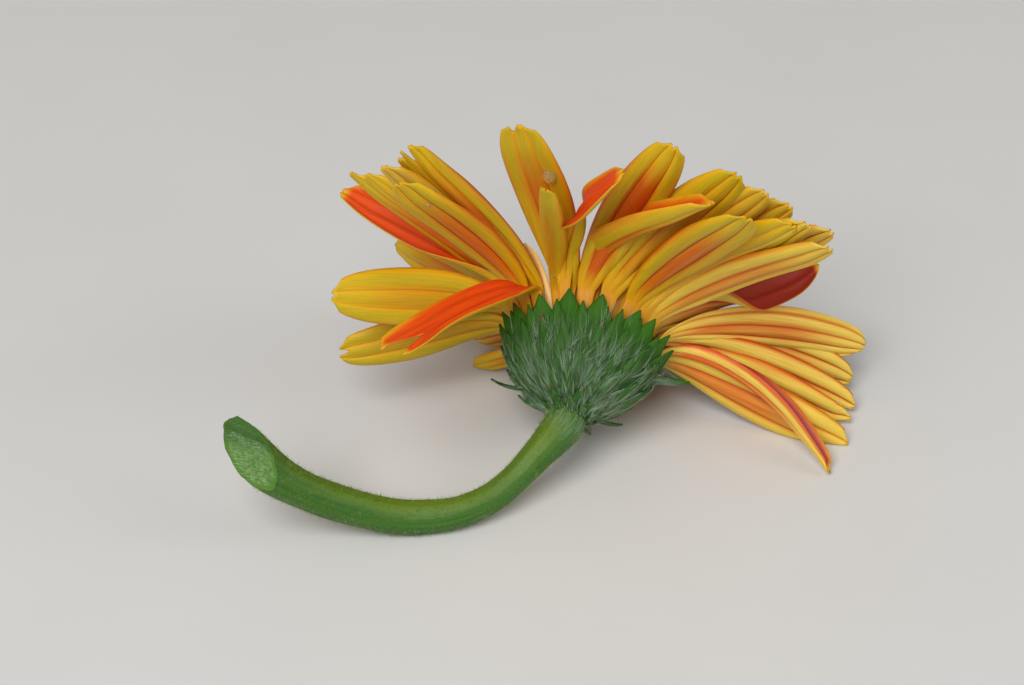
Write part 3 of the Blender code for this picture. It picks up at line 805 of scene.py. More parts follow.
def petal_line(petal, t):
    """Centre line of a petal at places along it: a straight claw, then a curve to the tip."""
    azimuth = math.radians(petal.place)
    root = ring_point(azimuth, *ROOT[petal.row])
    throat = ring_point(azimuth, *THROAT[petal.row])
    tip = to_head(np.array(petal.tip, float) + PLAN)
    handle = throat + leaning(azimuth, CLAW_RISE) * petal.leave
    shoulder = throat + (tip - throat) * petal.shoulder
    shoulder = shoulder + UP * petal.bow + clockwise(azimuth) * petal.sway

    def curve(share):
        s = share[:, None]
        r = 1.0 - s
        start = throat * r ** 3 + handle * (3.0 * r * r * s)
        return start + shoulder * (3.0 * r * s * s) + tip * s ** 3

    claw = np.linalg.norm(throat - root)
    reach = distances(curve(span(CURVE_STEPS)))[-1]
    travelled = t * (claw + reach)
    straight = root + (throat - root) * (travelled / claw)[:, None]
    beyond = curve(np.clip((travelled - claw) / reach, 0.0, 1.0))
    line = np.where((travelled <= claw)[:, None], straight, beyond)
    return above_surface(line, FLOOR[petal.row]), claw + reach


def petal_frames(petal):
    """Places along a petal with its centre line, the way across it and the way out of its face."""
    t = span(LINE_STEPS)
    line, length = petal_line(petal, t)
    ahead, _ = petal_line(petal, np.minimum(1.0, t + WAY_TAKEN_OVER))
    behind, _ = petal_line(petal, np.maximum(0.0, t - WAY_TAKEN_OVER))
    along = unit(ahead - behind)
    across = carried(along, clockwise(math.radians(petal.place)))
    upper = np.cross(along, across)
    turn = (math.radians(petal.twist) * smooth((t - petal.fold) / petal.over))[:, None]
    turned = across * np.cos(turn) + upper * np.sin(turn)
    normal = upper * np.cos(turn) - across * np.sin(turn)
    return t, line, turned, normal, length


def petal_width(t):
    """The blade's width along the petal, as a share of its greatest: claw, belly, rounded tip."""
    growing = CLAW_WIDTH + (1.0 - CLAW_WIDTH) * smooth(t / 0.68)
    closing = (1.0 - np.clip((t - 0.62) / 0.39, 0.0, 1.0) ** 3.0) ** 0.6
    return growing * closing


def petal_reach(petal, u, length):
    """How far along the petal each line of it runs: its tip has a notch and two small teeth."""
    width = max(NOTCH_LEAST, NOTCH_FLARE * petal.notch)
    notch = petal.notch * np.clip(1.0 - np.abs(u - petal.split) / width, 0.0, 1.0)
    beside = np.abs(np.abs(u) - TOOTH_PLACE)
    teeth = TOOTH_DEPTH * np.clip(1.0 - beside / TOOTH_WIDTH, 0.0, 1.0)
    rounding = CORNER_ROUNDING * np.abs(u) ** 2.2
    return 1.0 - (np.maximum(notch, teeth) + rounding) / length


def petal_middle(petal, t, u, relief, draw):
    """Middle surface of a petal at places along and across it.

    With it come how high its ridges are, its half width there and its length.
    """
    places, line, across, normal, length = petal_frames(petal)
    half = 0.5 * petal.width * petal_width(t)
    bend = petal.cup * smooth((t - 0.05) / 0.3)
    lean = draw.uniform(-RIDGE_LEAN, RIDGE_LEAN)
    bent = u + lean * (1.0 - u * u) * smooth(t / 0.5)
    crest = np.abs(np.cos(0.5 * petal.ridges * math.pi * bent)) ** RIDGE_ROUND
    grown = smooth((t - 0.12) / 0.3) * (1.0 - 0.5 * smooth((t - 0.85) / 0.15))
    phase = [draw.uniform(0.0, 2.0 * math.pi) for _ in range(3)]
    wave = np.sin(9.0 * t + phase[0]) * 0.22 + np.sin(17.0 * t + 2.0 * u + phase[1]) * 0.1
    rise = np.abs(u) ** 1.6 * half * np.sin(bend) - relief * (crest - 0.6) * grown
    rise = rise + wave * u * np.abs(u) * grown + np.sin(6.0 * t + phase[2]) * 0.15 * grown
    tip = smooth((t - TIP_FROM) / (1.0 - TIP_FROM))
    rise = rise + TIP_CURL * tip ** 2
    lobe = np.clip((u - petal.split) / LOBE_WIDTH, -1.0, 1.0)
    parted = LOBES_APART * petal.notch * lobe * tip
    points = read_line(places, line, t)
    points = points + read_line(places, across, t) * (u * half * np.cos(bend) + parted)[..., None]
    points = points + unit(read_line(places, normal, t)) * rise[..., None]
    return above_surface(points, FLOOR[petal.row]), crest, half, length


def petal_draw(number):
    """The random draws of a petal, which the water drop on it repeats."""
    return random.Random(SEED * 100 + number)


def make_petal(number, petal, look, material):
    """One long petal: a closed blade, thin at its edges, ridged along and toothed at its tip."""
    draw = petal_draw(number)
    rows = span(PETAL_STATIONS) ** ROWS_TOWARD_TIP
    _, length = petal_line(petal, rows)
    u = span(PETAL_STRIPS, -1.0, 1.0)
    t = rows[:, None] * petal_reach(petal, u, length)
    u = np.broadcast_to(u, t.shape)
    middle, crest, half, _ = petal_middle(petal, t, u, look.relief / MM, draw)
    thick = 0.5 * look.thickness / MM * (1.0 - 0.75 * np.abs(u) ** 4)
    thick = thick * (1.0 - 0.4 * smooth((t - 0.6) / 0.4))
    bunch = Bunch()
    place = grain_place(u * half, t * length, number * GRAIN_STEP)
    add_blade(bunch, middle, thick, place=place, along=t, across=u, crest=crest, upper=UPPER_SIDE,
              wash=petal.wash, pale=petal.pale)
    piece = bunch.piece(f"ray_petal_{number:02d}", material)
    dress(piece, "petal_yellow", "ray_petals")


def bent_tip(place, row, reach, rise):
    """Where a petal of this reach ends, bent forward until the surface only presses its tip."""
    azimuth = math.radians(place)
    while True:
        way = leaning(azimuth, math.radians(rise))
        tip = from_head(ring_point(azimuth, *THROAT[OUTER]) + way * reach)
        if tip[2] > HIDDEN_FLOOR[row] - PRESSED:
            return tuple(tip - PLAN)
        rise += 1


def hidden_petals():
    """The petals that the photo doesn't show, in turn in the outer and the inner row."""
    draw = random.Random(SEED)
    first, last = HIDDEN_PLACES
    petals = []
    for k in range(HIDDEN_COUNT):
        place = first + (last - first) * k / (HIDDEN_COUNT - 1)
        place = place + draw.uniform(-HIDDEN_ASIDE, HIDDEN_ASIDE)
        row = OUTER if k % 2 == 0 else INNER
        rise = draw.uniform(*HIDDEN_RISE)
        tip = bent_tip(place, row, draw.uniform(*HIDDEN_REACH), rise)
        width = draw.uniform(*HIDDEN_WIDTH)
        wash = 0.2 + 0.15 * (k % 5)
        petals.append(Petal(place, row, tip, HIDDEN_BOW, 0, width, 0, HIDDEN_CUP, wash=wash))
    return petals


def cup_point(share, lift):
    """(radius, height) at a share of the cup's line, lifted off it along its normal."""
    places = distances(CUP_LINE) / CUP_LENGTH
    way = unit(np.gradient(CUP_LINE, places, axis=0))
    point = read_line(places, CUP_LINE, share)
    along = unit(read_line(places, way, share))
    return point[..., 0] + along[..., 1] * lift, point[..., 1] - along[..., 0] * lift


def add_bract(bunch, azimuth, start, end, width, lift, bare, draw):
    """A narrow pointed leaf that lies up the cup's side, ribbed along its middle."""
    t, u = grid(span(BRACT_STATIONS), span(BRACT_STRIPS, -1.0, 1.0))
    half = 0.5 * width * (0.7 + 0.3 * smooth(t / 0.5))
    half = half * (1.0 - 0.96 * np.clip((t - 0.55) / 0.45, 0.0, 1.0) ** 1.3)
    radius, height = cup_point(start + (end - start) * t, lift * smooth(t) + BRACT_SUNK)
    sway = draw.uniform(-0.5, 0.5)
    curl = draw.uniform(0.0, 0.2)
    centre = ring_point(azimuth, radius, height)
    rib = 0.1 * np.exp(-(u / 0.25) ** 2) - 0.35 * half * u * u + curl * smooth((t - 0.75) / 0.25)
    middle = centre + clockwise(azimuth) * (u * half + sway * t * t)[..., None]
    middle = middle + outward(azimuth) * (rib * smooth(t / 0.2))[..., None]
    thick = BRACT_HALF_THICKNESS * (1.0 - 0.5 * np.abs(u) ** 3)
    place = grain_place(u * half, t * BRACT_GRAIN, draw.uniform(*GRAIN_APART))
    dry = float(draw.random() < DRY_BRACTS)
    add_blade(bunch, middle, thick, place=place, along=t, across=u, bare=bare, dry=dry)


def add_stray_bract(bunch, place, share, length, leave, width, bare, draw):
    """A slender bract that stands off the cup or its neck on its own."""
    azimuth = math.radians(place)
    t, u = grid(span(STRAY_STATIONS), span(STRAY_STRIPS, -1.0, 1.0))
    foot = ring_point(azimuth, *cup_point(share, BRACT_SUNK))
    way = leaning(azimuth, math.radians(leave))
    bow = np.cross(way, clockwise(azimuth))
    half = 0.5 * width * (1.0 - 0.9 * t ** 1.6)
    rise = 0.25 * half * u * u - 1.6 * t * (1.0 - t)
    middle = foot + way * (t * length)[..., None] + bow * rise[..., None]
    middle = middle + clockwise(azimuth) * (u * half + 0.8 * t * t)[..., None]
    place = grain_place(u * half, t * length, draw.uniform(*GRAIN_APART))
    middle = above_surface(middle, STRAY_FLOOR)
    add_blade(bunch, middle, STRAY_HALF_THICKNESS, place=place, along=t, across=u, bare=bare,
              dry=0.0)


def add_cup(bunch):
    """The receptacle's solid cup below the bracts."""
    share, azimuth = grid(span(CUP_STATIONS, end=CUP_SOLID_SHARE), ring_angles(CUP_SIDES))
    rows = ring_point(azimuth, *cup_point(share, CUP_SUNK))
    bunch.add(from_head(rows), tube_faces(*share.shape), place=rows, along=0.0, across=0.0,
              bare=0.0, dry=0.0)


def make_bracts(look, material):
    """The involucre: its cup and the rows of bracts that cover it."""
    draw = random.Random(SEED + 1)
    bunch = Bunch()
    add_cup(bunch)
    for k, (count, start, end, width, lift, bare) in enumerate(BRACT_ROWS):
        for i in range(count):
            turn = 2.0 * math.pi * (i + 0.5 * (k % 2)) / count
            azimuth = turn + draw.uniform(-BRACT_TURN, BRACT_TURN)
            shorter = end - draw.uniform(0.0, BRACT_SHORTER)
            other_width = width * draw.uniform(*BRACT_WIDTHS)
            other_lift = lift * draw.uniform(*BRACT_LIFTS)
            add_bract(bunch, azimuth, start, shorter, other_width, other_lift, bare, draw)
    for stray in STRAY_BRACTS:
        add_stray_bract(bunch, *stray, draw)
    piece = bunch.piece("involucre_bracts", material)
    dress(piece, "woolly_green", "involucre")
    return piece


def wool_lines(look, skin):
    """Lines of hairs that run up the cup in tufts, laid on the bracts that they meet there."""
    draw = np.random.default_rng(SEED + 2)
    tufts = look.wool_tufts
    count = tufts * TUFT_HAIRS
    share = np.repeat(draw.beta(1.3, 1.9, tufts) * 0.84 + 0.03, TUFT_HAIRS)
    share = np.clip(share + draw.normal(0.0, HAIR_ALONG, count), 0.02, 0.9)
    azimuth = np.repeat(draw.uniform(0.0, 2.0 * math.pi, tufts), TUFT_HAIRS)
    azimuth = azimuth + draw.normal(0.0, HAIR_ROUND, count)
    heading = np.repeat(draw.normal(0.0, TUFT_HEADING, tufts), TUFT_HAIRS)
    heading = heading + draw.normal(0.0, HAIR_TURNING, count)
    step = look.wool_length / MM * draw.uniform(*HAIR_LENGTHS, count) / (WOOL_POINTS - 1)
    lines = []
    for _ in range(WOOL_POINTS):
        start = from_head(ring_point(azimuth, *cup_point(share, SKIN_ABOVE)))
        radius, height = cup_point(share, 0.0)
        way = unit(from_head(ring_point(azimuth, radius, height)) - start)
        lines.append([laid_on(skin, a, b) for a, b in zip(start, way)])
        share = np.minimum(share + np.cos(heading) * step / CUP_LENGTH, WOOL_END)
        azimuth = azimuth + np.sin(heading) * step / np.maximum(radius, 3.0)
        heading = heading + draw.normal(0.0, HAIR_TURNING, count)
    return np.array(lines).transpose(1, 0, 2), draw


def laid_on(skin, start, way):
    """Where a straight way first meets the skin, a little before it."""
    hit = skin.ray_cast(Vector(start * MM), Vector(way), SKIN_REACH * MM)[0]
    return np.array(hit) / MM - way * WOOL_LIFT if hit else start + way * SKIN_MISSED


def make_wool(look, bracts, material):
    """Cobwebby hairs over the bracts."""
    skin = BVHTree.FromObject(bracts, bpy.context.evaluated_depsgraph_get())
    lines, draw = wool_lines(look, skin)
    rise = np.abs(draw.normal(0.0, WOOL_RISE, (len(lines), 1, 1)))
    lift = rise * span(WOOL_POINTS - 1)[:, None]
    centre = from_head(np.array((0.0, 0.0, -5.0)))
    lines = lines + unit(lines - centre) * lift
    lines[..., 2] = np.maximum(lines[..., 2], 0.1)
    bunch = Bunch()
    add_strands(bunch, lines, 0.5 * look.wool_width / MM, draw)
    piece = bunch.piece("involucre_wool", material)
    dress(piece, "woolly_green", "involucre")


def stem_frames():
    """The stem's centre line from the cup to past its cut, with radii and two ways across it."""
    neck = from_head(np.array(STEM_NECK))
    points = np.concatenate([neck, np.array(STEM_LINE) + PLAN])
    ends = np.concatenate([[points[0] * 2 - points[1]], points, [points[-1] * 2 - points[-2]]])
    line = []
    for a, b, c, d in zip(ends, ends[1:], ends[2:], ends[3:]):
        for t in np.arange(STEM_STEPS) / STEM_STEPS:
            line.append(0.5 * (b * 2 + (c - a) * t + (a * 2 - b * 5 + c * 4 - d) * t * t
                               + (b * 3 - a - c * 3 + d) * t ** 3))
    beyond = points[-1] + unit(points[-1] - points[-2]) * STEM_PAST_CUT
    line = np.array(line + [points[-1], beyond])
    steps = np.arange(len(line)) / STEM_STEPS
    radii = np.interp(steps, np.arange(len(STEM_RADII)), STEM_RADII)
    along = unit(np.gradient(line, axis=0))
    across = carried(along, np.cross(along[0], UP))
    return distances(line), line, radii, across, np.cross(along, across)


def stem_points(travel, turn):
    """Points of the stem's skin at a way along it and an angle round it, shallowly ribbed."""
    travelled, line, radii, across, upright = stem_frames()
    radius = np.interp(travel, travelled, radii)
    ribs = 0.02 * np.cos(9.0 * turn + 0.04 * travel) + 0.012 * np.cos(17.0 * turn - 0.03 * travel)
    lumps = 0.012 * np.sin(0.5 * travel + 2.0 * turn) + 0.01 * np.sin(0.23 * travel - turn)
    reach = (radius * (1.0 + ribs + lumps))[..., None]
    way = read_line(travelled, across, travel) * np.cos(turn)[..., None]
    way = way + read_line(travelled, upright, travel) * np.sin(turn)[..., None]
    return read_line(travelled, line, travel) + way * reach, way


def cut_travel(turn):
    """How far along each line of the stem's skin the slanting cut is."""
    travel = span(CUT_SEARCH_STEPS, end=stem_frames()[0][-1])
    ends = []
    for angle in turn:
        points, _ = stem_points(travel, np.full_like(travel, angle))
        beyond = (points - CUT_POINT) @ CUT_NORMAL
        first = np.argmax(beyond > 0.0)
        share = -beyond[first - 1] / (beyond[first] - beyond[first - 1])
        ends.append(travel[first - 1] + share * (travel[first] - travel[first - 1]))
    return np.array(ends)


def make_stem(look, skin_material, cut_material):
    """The bent stalk, from inside the cup's neck to its slanting cut."""
    turn = ring_angles(STEM_SIDES)
    ends = cut_travel(turn)
    travel = span(STEM_STATIONS)[:, None] * ends
    angle = np.broadcast_to(turn, travel.shape)
    points, way = stem_points(travel, angle)
    points[..., 2] = np.maximum(points[..., 2], FLOOR_CLEARANCE)
    place = grain_place(9.0 * np.abs(angle / math.pi - 1.0), travel, 0.0)
    bunch = Bunch()
    bunch.add(points, tube_faces(*travel.shape, closed_top=False), place=place,
              top=np.maximum(way[..., 2], 0.0), low=np.maximum(-way[..., 2], 0.0), radial=1.0,
              collar=1.0 - smooth((travel - 2.0) / 4.0))
    add_cut_face(bunch, points[-1])
    piece = bunch.piece("stem_stalk", skin_material)
    piece.data.materials.append(cut_material)
    skin_faces = STEM_STATIONS * STEM_SIDES + 1
    for face in piece.data.polygons[skin_faces:]:
        face.material_index = 1
    weld(piece.data)
    dress(piece, "stem_green", "stem")
    return ends


def add_cut_face(bunch, rim):
    """Rings from the cut's rim to its middle, sunk a little in the pith and torn near its top."""
    centre = rim.mean(0)
    upward = unit(UP - CUT_NORMAL * CUT_NORMAL[2])
    sideways = np.cross(CUT_NORMAL, upward)
    shares = np.array(CUT_RINGS)
    rings = centre + (rim - centre) * shares[:, None, None]
    high = (rings - centre) @ upward
    wide = (rings - centre) @ sideways
    reach = np.abs((rim - centre) @ upward).max()
    inside = smooth((1.0 - shares) / 0.2)[:, None]
    dip = 0.25 * smooth((1.0 - shares) / 0.5)[:, None]
    tear = 0.55 * np.exp(-((high - 0.38 * reach - 0.25 * wide) / 0.4) ** 2) * inside
    rough = 0.1 * np.sin(3.1 * wide + 1.3 * high) * np.cos(2.3 * high) * inside
    rings = rings - CUT_NORMAL * (dip + tear + rough)[..., None]
    bunch.add(rings, tube_faces(*high.shape, closed_foot=False), place=grain_place(wide, high, 0.0),
              top=0.5 + 0.5 * high / reach, low=0.0, radial=shares[:, None], collar=0.0)


def weld(mesh):
    """Join the points of the skin's end and the cut face's rim."""
    bm = bmesh.new()
    bm.from_mesh(mesh)
    bmesh.ops.remove_doubles(bm, verts=bm.verts, dist=WELD_DISTANCE)
    bm.to_mesh(mesh)
    bm.free()


def make_stem_hairs(look, ends, material):
    """Short hairs all over the stem's skin."""
    draw = np.random.default_rng(SEED + 3)
    count = look.hair_count
    turn = draw.uniform(0.0, 2.0 * math.pi, count)
    limit = np.interp(turn, span(STEM_SIDES, end=2.0 * math.pi), np.append(ends, ends[0]))
    travel = draw.uniform(0.01, 0.995, count) * limit
    root, way = stem_points(travel, turn)
    length = look.hair_length / MM * draw.uniform(*HAIR_LENGTHS, (count, 1))
    lean = unit(way + draw.normal(0.0, HAIR_LEAN, (count, 3)))
    bend = draw.normal(0.0, HAIR_BEND, (count, 3))
    steps = span(HAIR_STEPS)
    lines = (root - way * HAIR_ROOT)[:, None] + lean[:, None] * (length * steps)[..., None]
    lines = lines + bend[:, None] * (length * steps ** 2)[..., None]
    lines = lines[lines[..., 2].min(1) > FLOOR_CLEARANCE]
    bunch = Bunch()
    add_strands(bunch, lines, 0.5 * look.hair_width / MM, draw)
    piece = bunch.piece("stem_hairs", material)
    dress(piece, "stem_green", "stem")


def add_strap(bunch, azimuth, radius, length, rise, draw):
    """A short inner floret: a narrow strap that leans outward, notched at its tip."""
    u = span(STRAP_STRIPS, -1.0, 1.0)
    rows = span(STRAP_STATIONS)
    reach = 1.0 - 0.1 * np.clip(1.0 - np.abs(u) / 0.5, 0.0, 1.0) - 0.05 * np.abs(u) ** 3
    t = rows[:, None] * reach
    u = np.broadcast_to(u, t.shape)
    ways = leaning(azimuth, rise - STRAP_BEND * rows)
    steps = np.concatenate([[np.zeros(3)], np.cumsum(ways[1:], 0)]) * (length / STRAP_STATIONS)
    line = ring_point(azimuth, radius, STRAP_FOOT) + steps
    normal = np.cross(ways, clockwise(azimuth))
    half = 0.5 * STRAP_WIDTH * (0.5 + 0.5 * smooth(t / 0.6))
    half = half * (1.0 - 0.7 * smooth((t - 0.75) / 0.25) ** 2)
    twist = draw.uniform(-0.5, 0.5) * t
    waves = 0.2 * np.sin(7.0 * t + draw.uniform(0, 6)) * t
    lift = 0.35 * half * u * u + 0.06 * np.abs(np.cos(math.pi * u)) + waves
    middle = read_line(rows, line, t) + clockwise(azimuth) * (u * half * np.cos(twist))[..., None]
    middle = middle + read_line(rows, normal, t) * (lift + u * half * np.sin(twist))[..., None]
    thick = STRAP_HALF_THICKNESS * (1.0 - 0.6 * np.abs(u) ** 3)
    place = grain_place(u * half, t * length, draw.uniform(*GRAIN_APART))
    add_blade(bunch, middle, thick, place=place, along=t, tone=draw.random())


def make_straps(look, material):
    """The rings of inner florets round the disc."""
    draw = random.Random(SEED + 4)
    bunch = Bunch()
    for k, (radius, length, rise) in enumerate(STRAP_RINGS):
        for i in range(look.strap_count):
            turn = 2.0 * math.pi * (i + k / len(STRAP_RINGS)) / look.strap_count
            azimuth = turn + draw.uniform(-STRAP_TURN, STRAP_TURN)
            other_length = length + draw.uniform(*STRAP_LONGER)
            other_rise = math.radians(rise + draw.uniform(-STRAP_STEEPER, STRAP_STEEPER))
            add_strap(bunch, azimuth, radius, other_length, other_rise, draw)
    piece = bunch.piece("inner_florets_fine", material)
    dress(piece, "floret_cream", "inner_florets")


def add_disc_floret(bunch, azimuth, share, tone):
    """One tube floret: a closed bud near the middle, an open five-lobed trumpet near the edge."""
    turns = ring_angles(FLORET_SIDES)
    lobes = 0.5 + 0.5 * np.cos(5.0 * turns)
    outline = np.array(TRUMPET if share > OPEN_FROM else BUD)
    radius, height, spread = outline.T[..., None]
    radius = radius + spread * lobes
    height = height + 0.25 * spread * lobes
    axis = leaning(azimuth, 0.5 * math.pi - FLORET_LEAN * share)
    side = clockwise(azimuth)
    front = np.cross(side, axis)
    dome = DISC_SHOULDER + DISC_DOME * (1.0 - share * share)
    foot = ring_point(azimuth, (DISC_RADIUS - 0.3) * share, dome)
    points = foot + front * (radius * np.cos(turns))[..., None]
    points = points + side * (radius * np.sin(turns))[..., None] + axis * height[..., None]
    points = from_head(points)
    along = span(len(outline) - 1)[:, None]
    bunch.add(points, tube_faces(*radius.shape), place=points, along=along, tone=tone)
    return foot, axis


def add_styles(styles, azimuth, foot, axis):
    """The centre lines of a style's two arms, which part near its top."""
    for side in (-1.0, 1.0):
        bend = clockwise(azimuth) * side * STYLE_SPREAD
        styles.append([foot + axis * z + bend * max(0.0, z - STYLE_FORK) ** 2
                       for z in STYLE_HEIGHTS])


def make_disc(look, material, style_material):
    """The dome of disc florets, with the styles of the open ones."""
    draw = random.Random(SEED + 5)
    bunch = Bunch()
    steps, turns = grid(span(DOME_STEPS, 0.5 * math.pi, 0.05), ring_angles(DOME_SIDES))
    dome = ring_point(turns, DISC_RADIUS * np.sin(steps), DISC_SHOULDER + DISC_DOME * np.cos(steps))
    dome = from_head(np.concatenate([dome[:1] - UP * DISC_SKIRT, dome]))
    bunch.add(dome, tube_faces(*dome.shape[:2]), place=dome, along=0.0, tone=0.3)
    styles = []
    for i in range(look.disc_count):
        share = math.sqrt((i + 0.5) / look.disc_count)
        azimuth = i * GOLDEN_ANGLE
        foot, axis = add_disc_floret(bunch, azimuth, share, share * draw.uniform(0.8, 1.2))
        if share > OPEN_FROM:
            add_styles(styles, azimuth, foot, axis)
    piece = bunch.piece("disc_florets_fine", material)
    dress(piece, "disc_gold", "disc_florets")
    arms = Bunch()
    lines = from_head(np.array(styles))
    add_strands(arms, lines, STYLE_RADIUS, np.random.default_rng(SEED + 6))
    piece = arms.piece("disc_styles", style_material)
    dress(piece, "disc_gold", "disc_florets")


def shown_petal_points(number, t, u):
    """Points on a shown petal's middle surface, with its half width there and its length."""
    relief = bpy.context.scene.daisy_petals.relief / MM
    petal = SHOWN_PETALS[number - 1]
    middle, _, half, length = petal_middle(petal, t, u, relief, petal_draw(number))
    return from_head(middle), half, length


def make_drop(number, place, t, u, radius, material):
    """A flattened bead of water that fits the ridges of a petal's underside."""
    carrier = 1 + [petal.place for petal in SHOWN_PETALS].index(place)
    near = grid(span(2, t - 0.01, t + 0.01), span(2, u - 0.05, u + 0.05))
    middle, half, length = shown_petal_points(carrier, *near)
    along = unit(middle[2, 1] - middle[0, 1])
    normal = -unit(np.cross(along, middle[1, 2] - middle[1, 0]))
    side = np.cross(along, normal)
    steps = span(DROP_STEPS, end=0.5 * math.pi)
    turns = ring_angles(DROP_SIDES)
    bead = (np.concatenate([[0.94], np.cos(steps[:-1]), [0.03]]) * radius)[:, None]
    high = (np.concatenate([[-0.1], DROP_HEIGHT * np.sin(steps)]) * radius + DROP_FOOT)[:, None]
    across = bead * np.sin(turns)
    forward = bead * np.cos(turns)
    flat = middle[1, 1] + along * forward[..., None] + side * across[..., None]
    spots = (t + forward / length, u + across / np.mean(half))
    seated, _, _ = shown_petal_points(carrier, *spots)
    hug = (bead / radius)[..., None] ** 2
    points = flat + (seated - flat) * hug + normal * high[..., None]
    bunch = Bunch()
    bunch.add(points, [block[:, ::-1] for block in tube_faces(*points.shape[:2])])
    piece = bunch.piece(f"water_drop_{number}", material)
    dress(piece, "petal_yellow")


class PetalSettings(PropertyGroup):
    relief: measure("Ridge height", "How high the ridges along a petal are", 0.55, 0.0)
    thickness: measure("Thickness", "Thickness of a petal along its middle", 0.45, 0.1)
    under: tint("Underside", "Yellow of the underside", 222, 172, 8)
    crest: tint("Crests", "Olive yellow on the ridges", 190, 166, 12)
    cream: tint("Cream", "Pale yellow of the palest petals", 236, 202, 88)
    wash: tint("Wash", "Orange wash on the underside", 208, 92, 2)
    blush: tint("Blush", "Red between the ridges of pale petals", 204, 74, 16)
    # Its brown in the grooves is partly painted shade; it also tints the fine threads.
    groove: tint("Grooves", "Brown of the grooves", 104, 46, 2)
    base: tint("Foot", "Amber of a petal's foot", 210, 140, 2)
    upper: tint("Upper side", "Orange of the upper side", 226, 78, 4)
    # Painted shade: this dark red stands for shade on the upper side of pale petals.
    upper_painted_shade: tint("Upper side, dark", "Dark red inside pale petals", 144, 26, 4)
    upper_deep: tint("Upper side, deep", "Red of the upper side's foot", 200, 46, 4)


class InvolucreSettings(PropertyGroup):
    wool_tufts: IntProperty(name="Tufts", description="How many tufts of wool lie over the bracts",
                            default=250, min=1)
    wool_length: measure("Wool length", "Usual length of a wool hair", 4.2, 0.5)
    wool_width: measure("Wool width", "Thickness of a wool hair at its root", 0.035, 0.01)
    bract: tint("Bract", "Green of the bracts", 48, 90, 24)
    # Also used as painted shade toward each bract's root.
    bract_deep: tint("Bract, deep", "Dark green between their veins", 18, 48, 8)
    bract_tip: tint("Bract tip", "Bright green of the bare tips", 52, 108, 0)
    down: tint("Down", "Grey of the down on the bracts", 92, 122, 80)
    wool: tint("Wool", "Off-white of the hairs", 158, 178, 150)
    dry: tint("Dry tip", "Brown of the dry tips", 92, 70, 34)


class StemSettings(PropertyGroup):
    hair_count: IntProperty(name="Hairs", description="How many hairs stand on the stem",
                            default=9000, min=10)
    hair_length: measure("Hair length", "Usual length of a hair", 0.45, 0.1)
    hair_width: measure("Hair width", "Thickness of a hair at its root", 0.045, 0.01)
    skin: tint("Skin", "Green of the stem", 38, 88, 4)
    skin_light: tint("Skin, light", "Light green stripes", 72, 118, 14)
    # Painted light: the lighter yellow-green laid on the stem's upper side.
    skin_painted_light: tint("Skin, brown", "Yellowish brown of its top", 98, 122, 16)
    # Painted shade on the stem's lower side; it also darkens the stem next to the cup.
    skin_deep: tint("Skin, deep", "Deep green of its lower side", 22, 70, 6)
    skin_down: tint("Skin, down", "Grey of the down near the cup", 138, 166, 130)
    pith: tint("Pith", "Green of the cut face", 66, 108, 34)
    pith_pale: tint("Pith, pale", "Palest part of the cut face", 112, 146, 78)
    hair: tint("Hair", "Pale green of the hairs", 150, 170, 90)


class FloretSettings(PropertyGroup):
    strap_count: IntProperty(name="Straps a ring", description="Inner florets in each ring",
                             default=19, min=3)
    disc_count: IntProperty(name="Disc florets", description="Florets on the dome",
                            default=190, min=5)
    strap: tint("Strap", "Yellow of an inner floret", 238, 190, 100)
    strap_foot: tint("Strap foot", "Cream of its foot", 238, 214, 160)
    strap_tip: tint("Strap tip", "Orange of its tip", 226, 116, 40)
    bud: tint("Buds", "Yellow-green of the closed buds", 150, 158, 50)
    disc: tint("Disc", "Gold of the open florets", 206, 146, 34)
    disc_tip: tint("Disc tips", "Light yellow of their lobes", 240, 204, 90)
    # Painted shade between the florets.
    disc_painted_shade: tint("Disc, deep", "Brown between the florets", 96, 66, 20)


class StageSettings(PropertyGroup):
    floor: tint("Floor", "Colour of the pale floor", 212, 210, 206)
    key_power: FloatProperty(name="Key light", description="Power of the large soft light",
                             default=18.0, min=0.0, unit="POWER")
    fill_power: FloatProperty(name="Fill light", description="Power of the weaker light",
                              default=3.0, min=0.0, unit="POWER")
    sky: FloatProperty(name="Sky", description="Strength of the even light from all round",
                       default=0.3, min=0.0)


class DAISY_OT_petals(Operator):
    """Make the long petals, each a piece of its own"""
    bl_idname = "daisy.petals"
    bl_label = "Petals"

    def execute(self, context):
        look = context.scene.daisy_petals
        material = petal_paint(look)
        for number, petal in enumerate(SHOWN_PETALS + hidden_petals(), 1):
            make_petal(number, petal, look, material)
        return {"FINISHED"}


class DAISY_OT_involucre(Operator):
    """Make the green cup of bracts and its wool"""
    bl_idname = "daisy.involucre"
    bl_label = "Involucre"

    def execute(self, context):
        look = context.scene.daisy_involucre
        bracts = make_bracts(look, bract_paint(look))
        make_wool(look, bracts, hair_paint("wool", look.wool, look.down, 0.2))
        return {"FINISHED"}


class DAISY_OT_stem(Operator):
    """Make the bent stem, its cut face and its hairs"""
    bl_idname = "daisy.stem"
    bl_label = "Stem"

    def execute(self, context):
        look = context.scene.daisy_stem
        ends = make_stem(look, stem_paint(look), cut_paint(look))
        make_stem_hairs(look, ends, hair_paint("stem_hair", look.hair, look.skin_light, 0.1))
        return {"FINISHED"}


class DAISY_OT_florets(Operator):
    """Make the inner florets and the disc"""
    bl_idname = "daisy.florets"
    bl_label = "Florets"

    def execute(self, context):
        look = context.scene.daisy_florets
        make_straps(look, strap_paint(look))
        make_disc(look, disc_paint(look), hair_paint("style", look.disc_tip, look.disc, 0.1))
        return {"FINISHED"}


class DAISY_OT_drops(Operator):
    """Make the water drops on the petals"""
    bl_idname = "daisy.drops"
    bl_label = "Water drops"

    def execute(self, context):
        material = water_paint()
        for number, (place, t, u, radius) in enumerate(DROPS, 1):
            make_drop(number, place, t, u, radius, material)
        return {"FINISHED"}


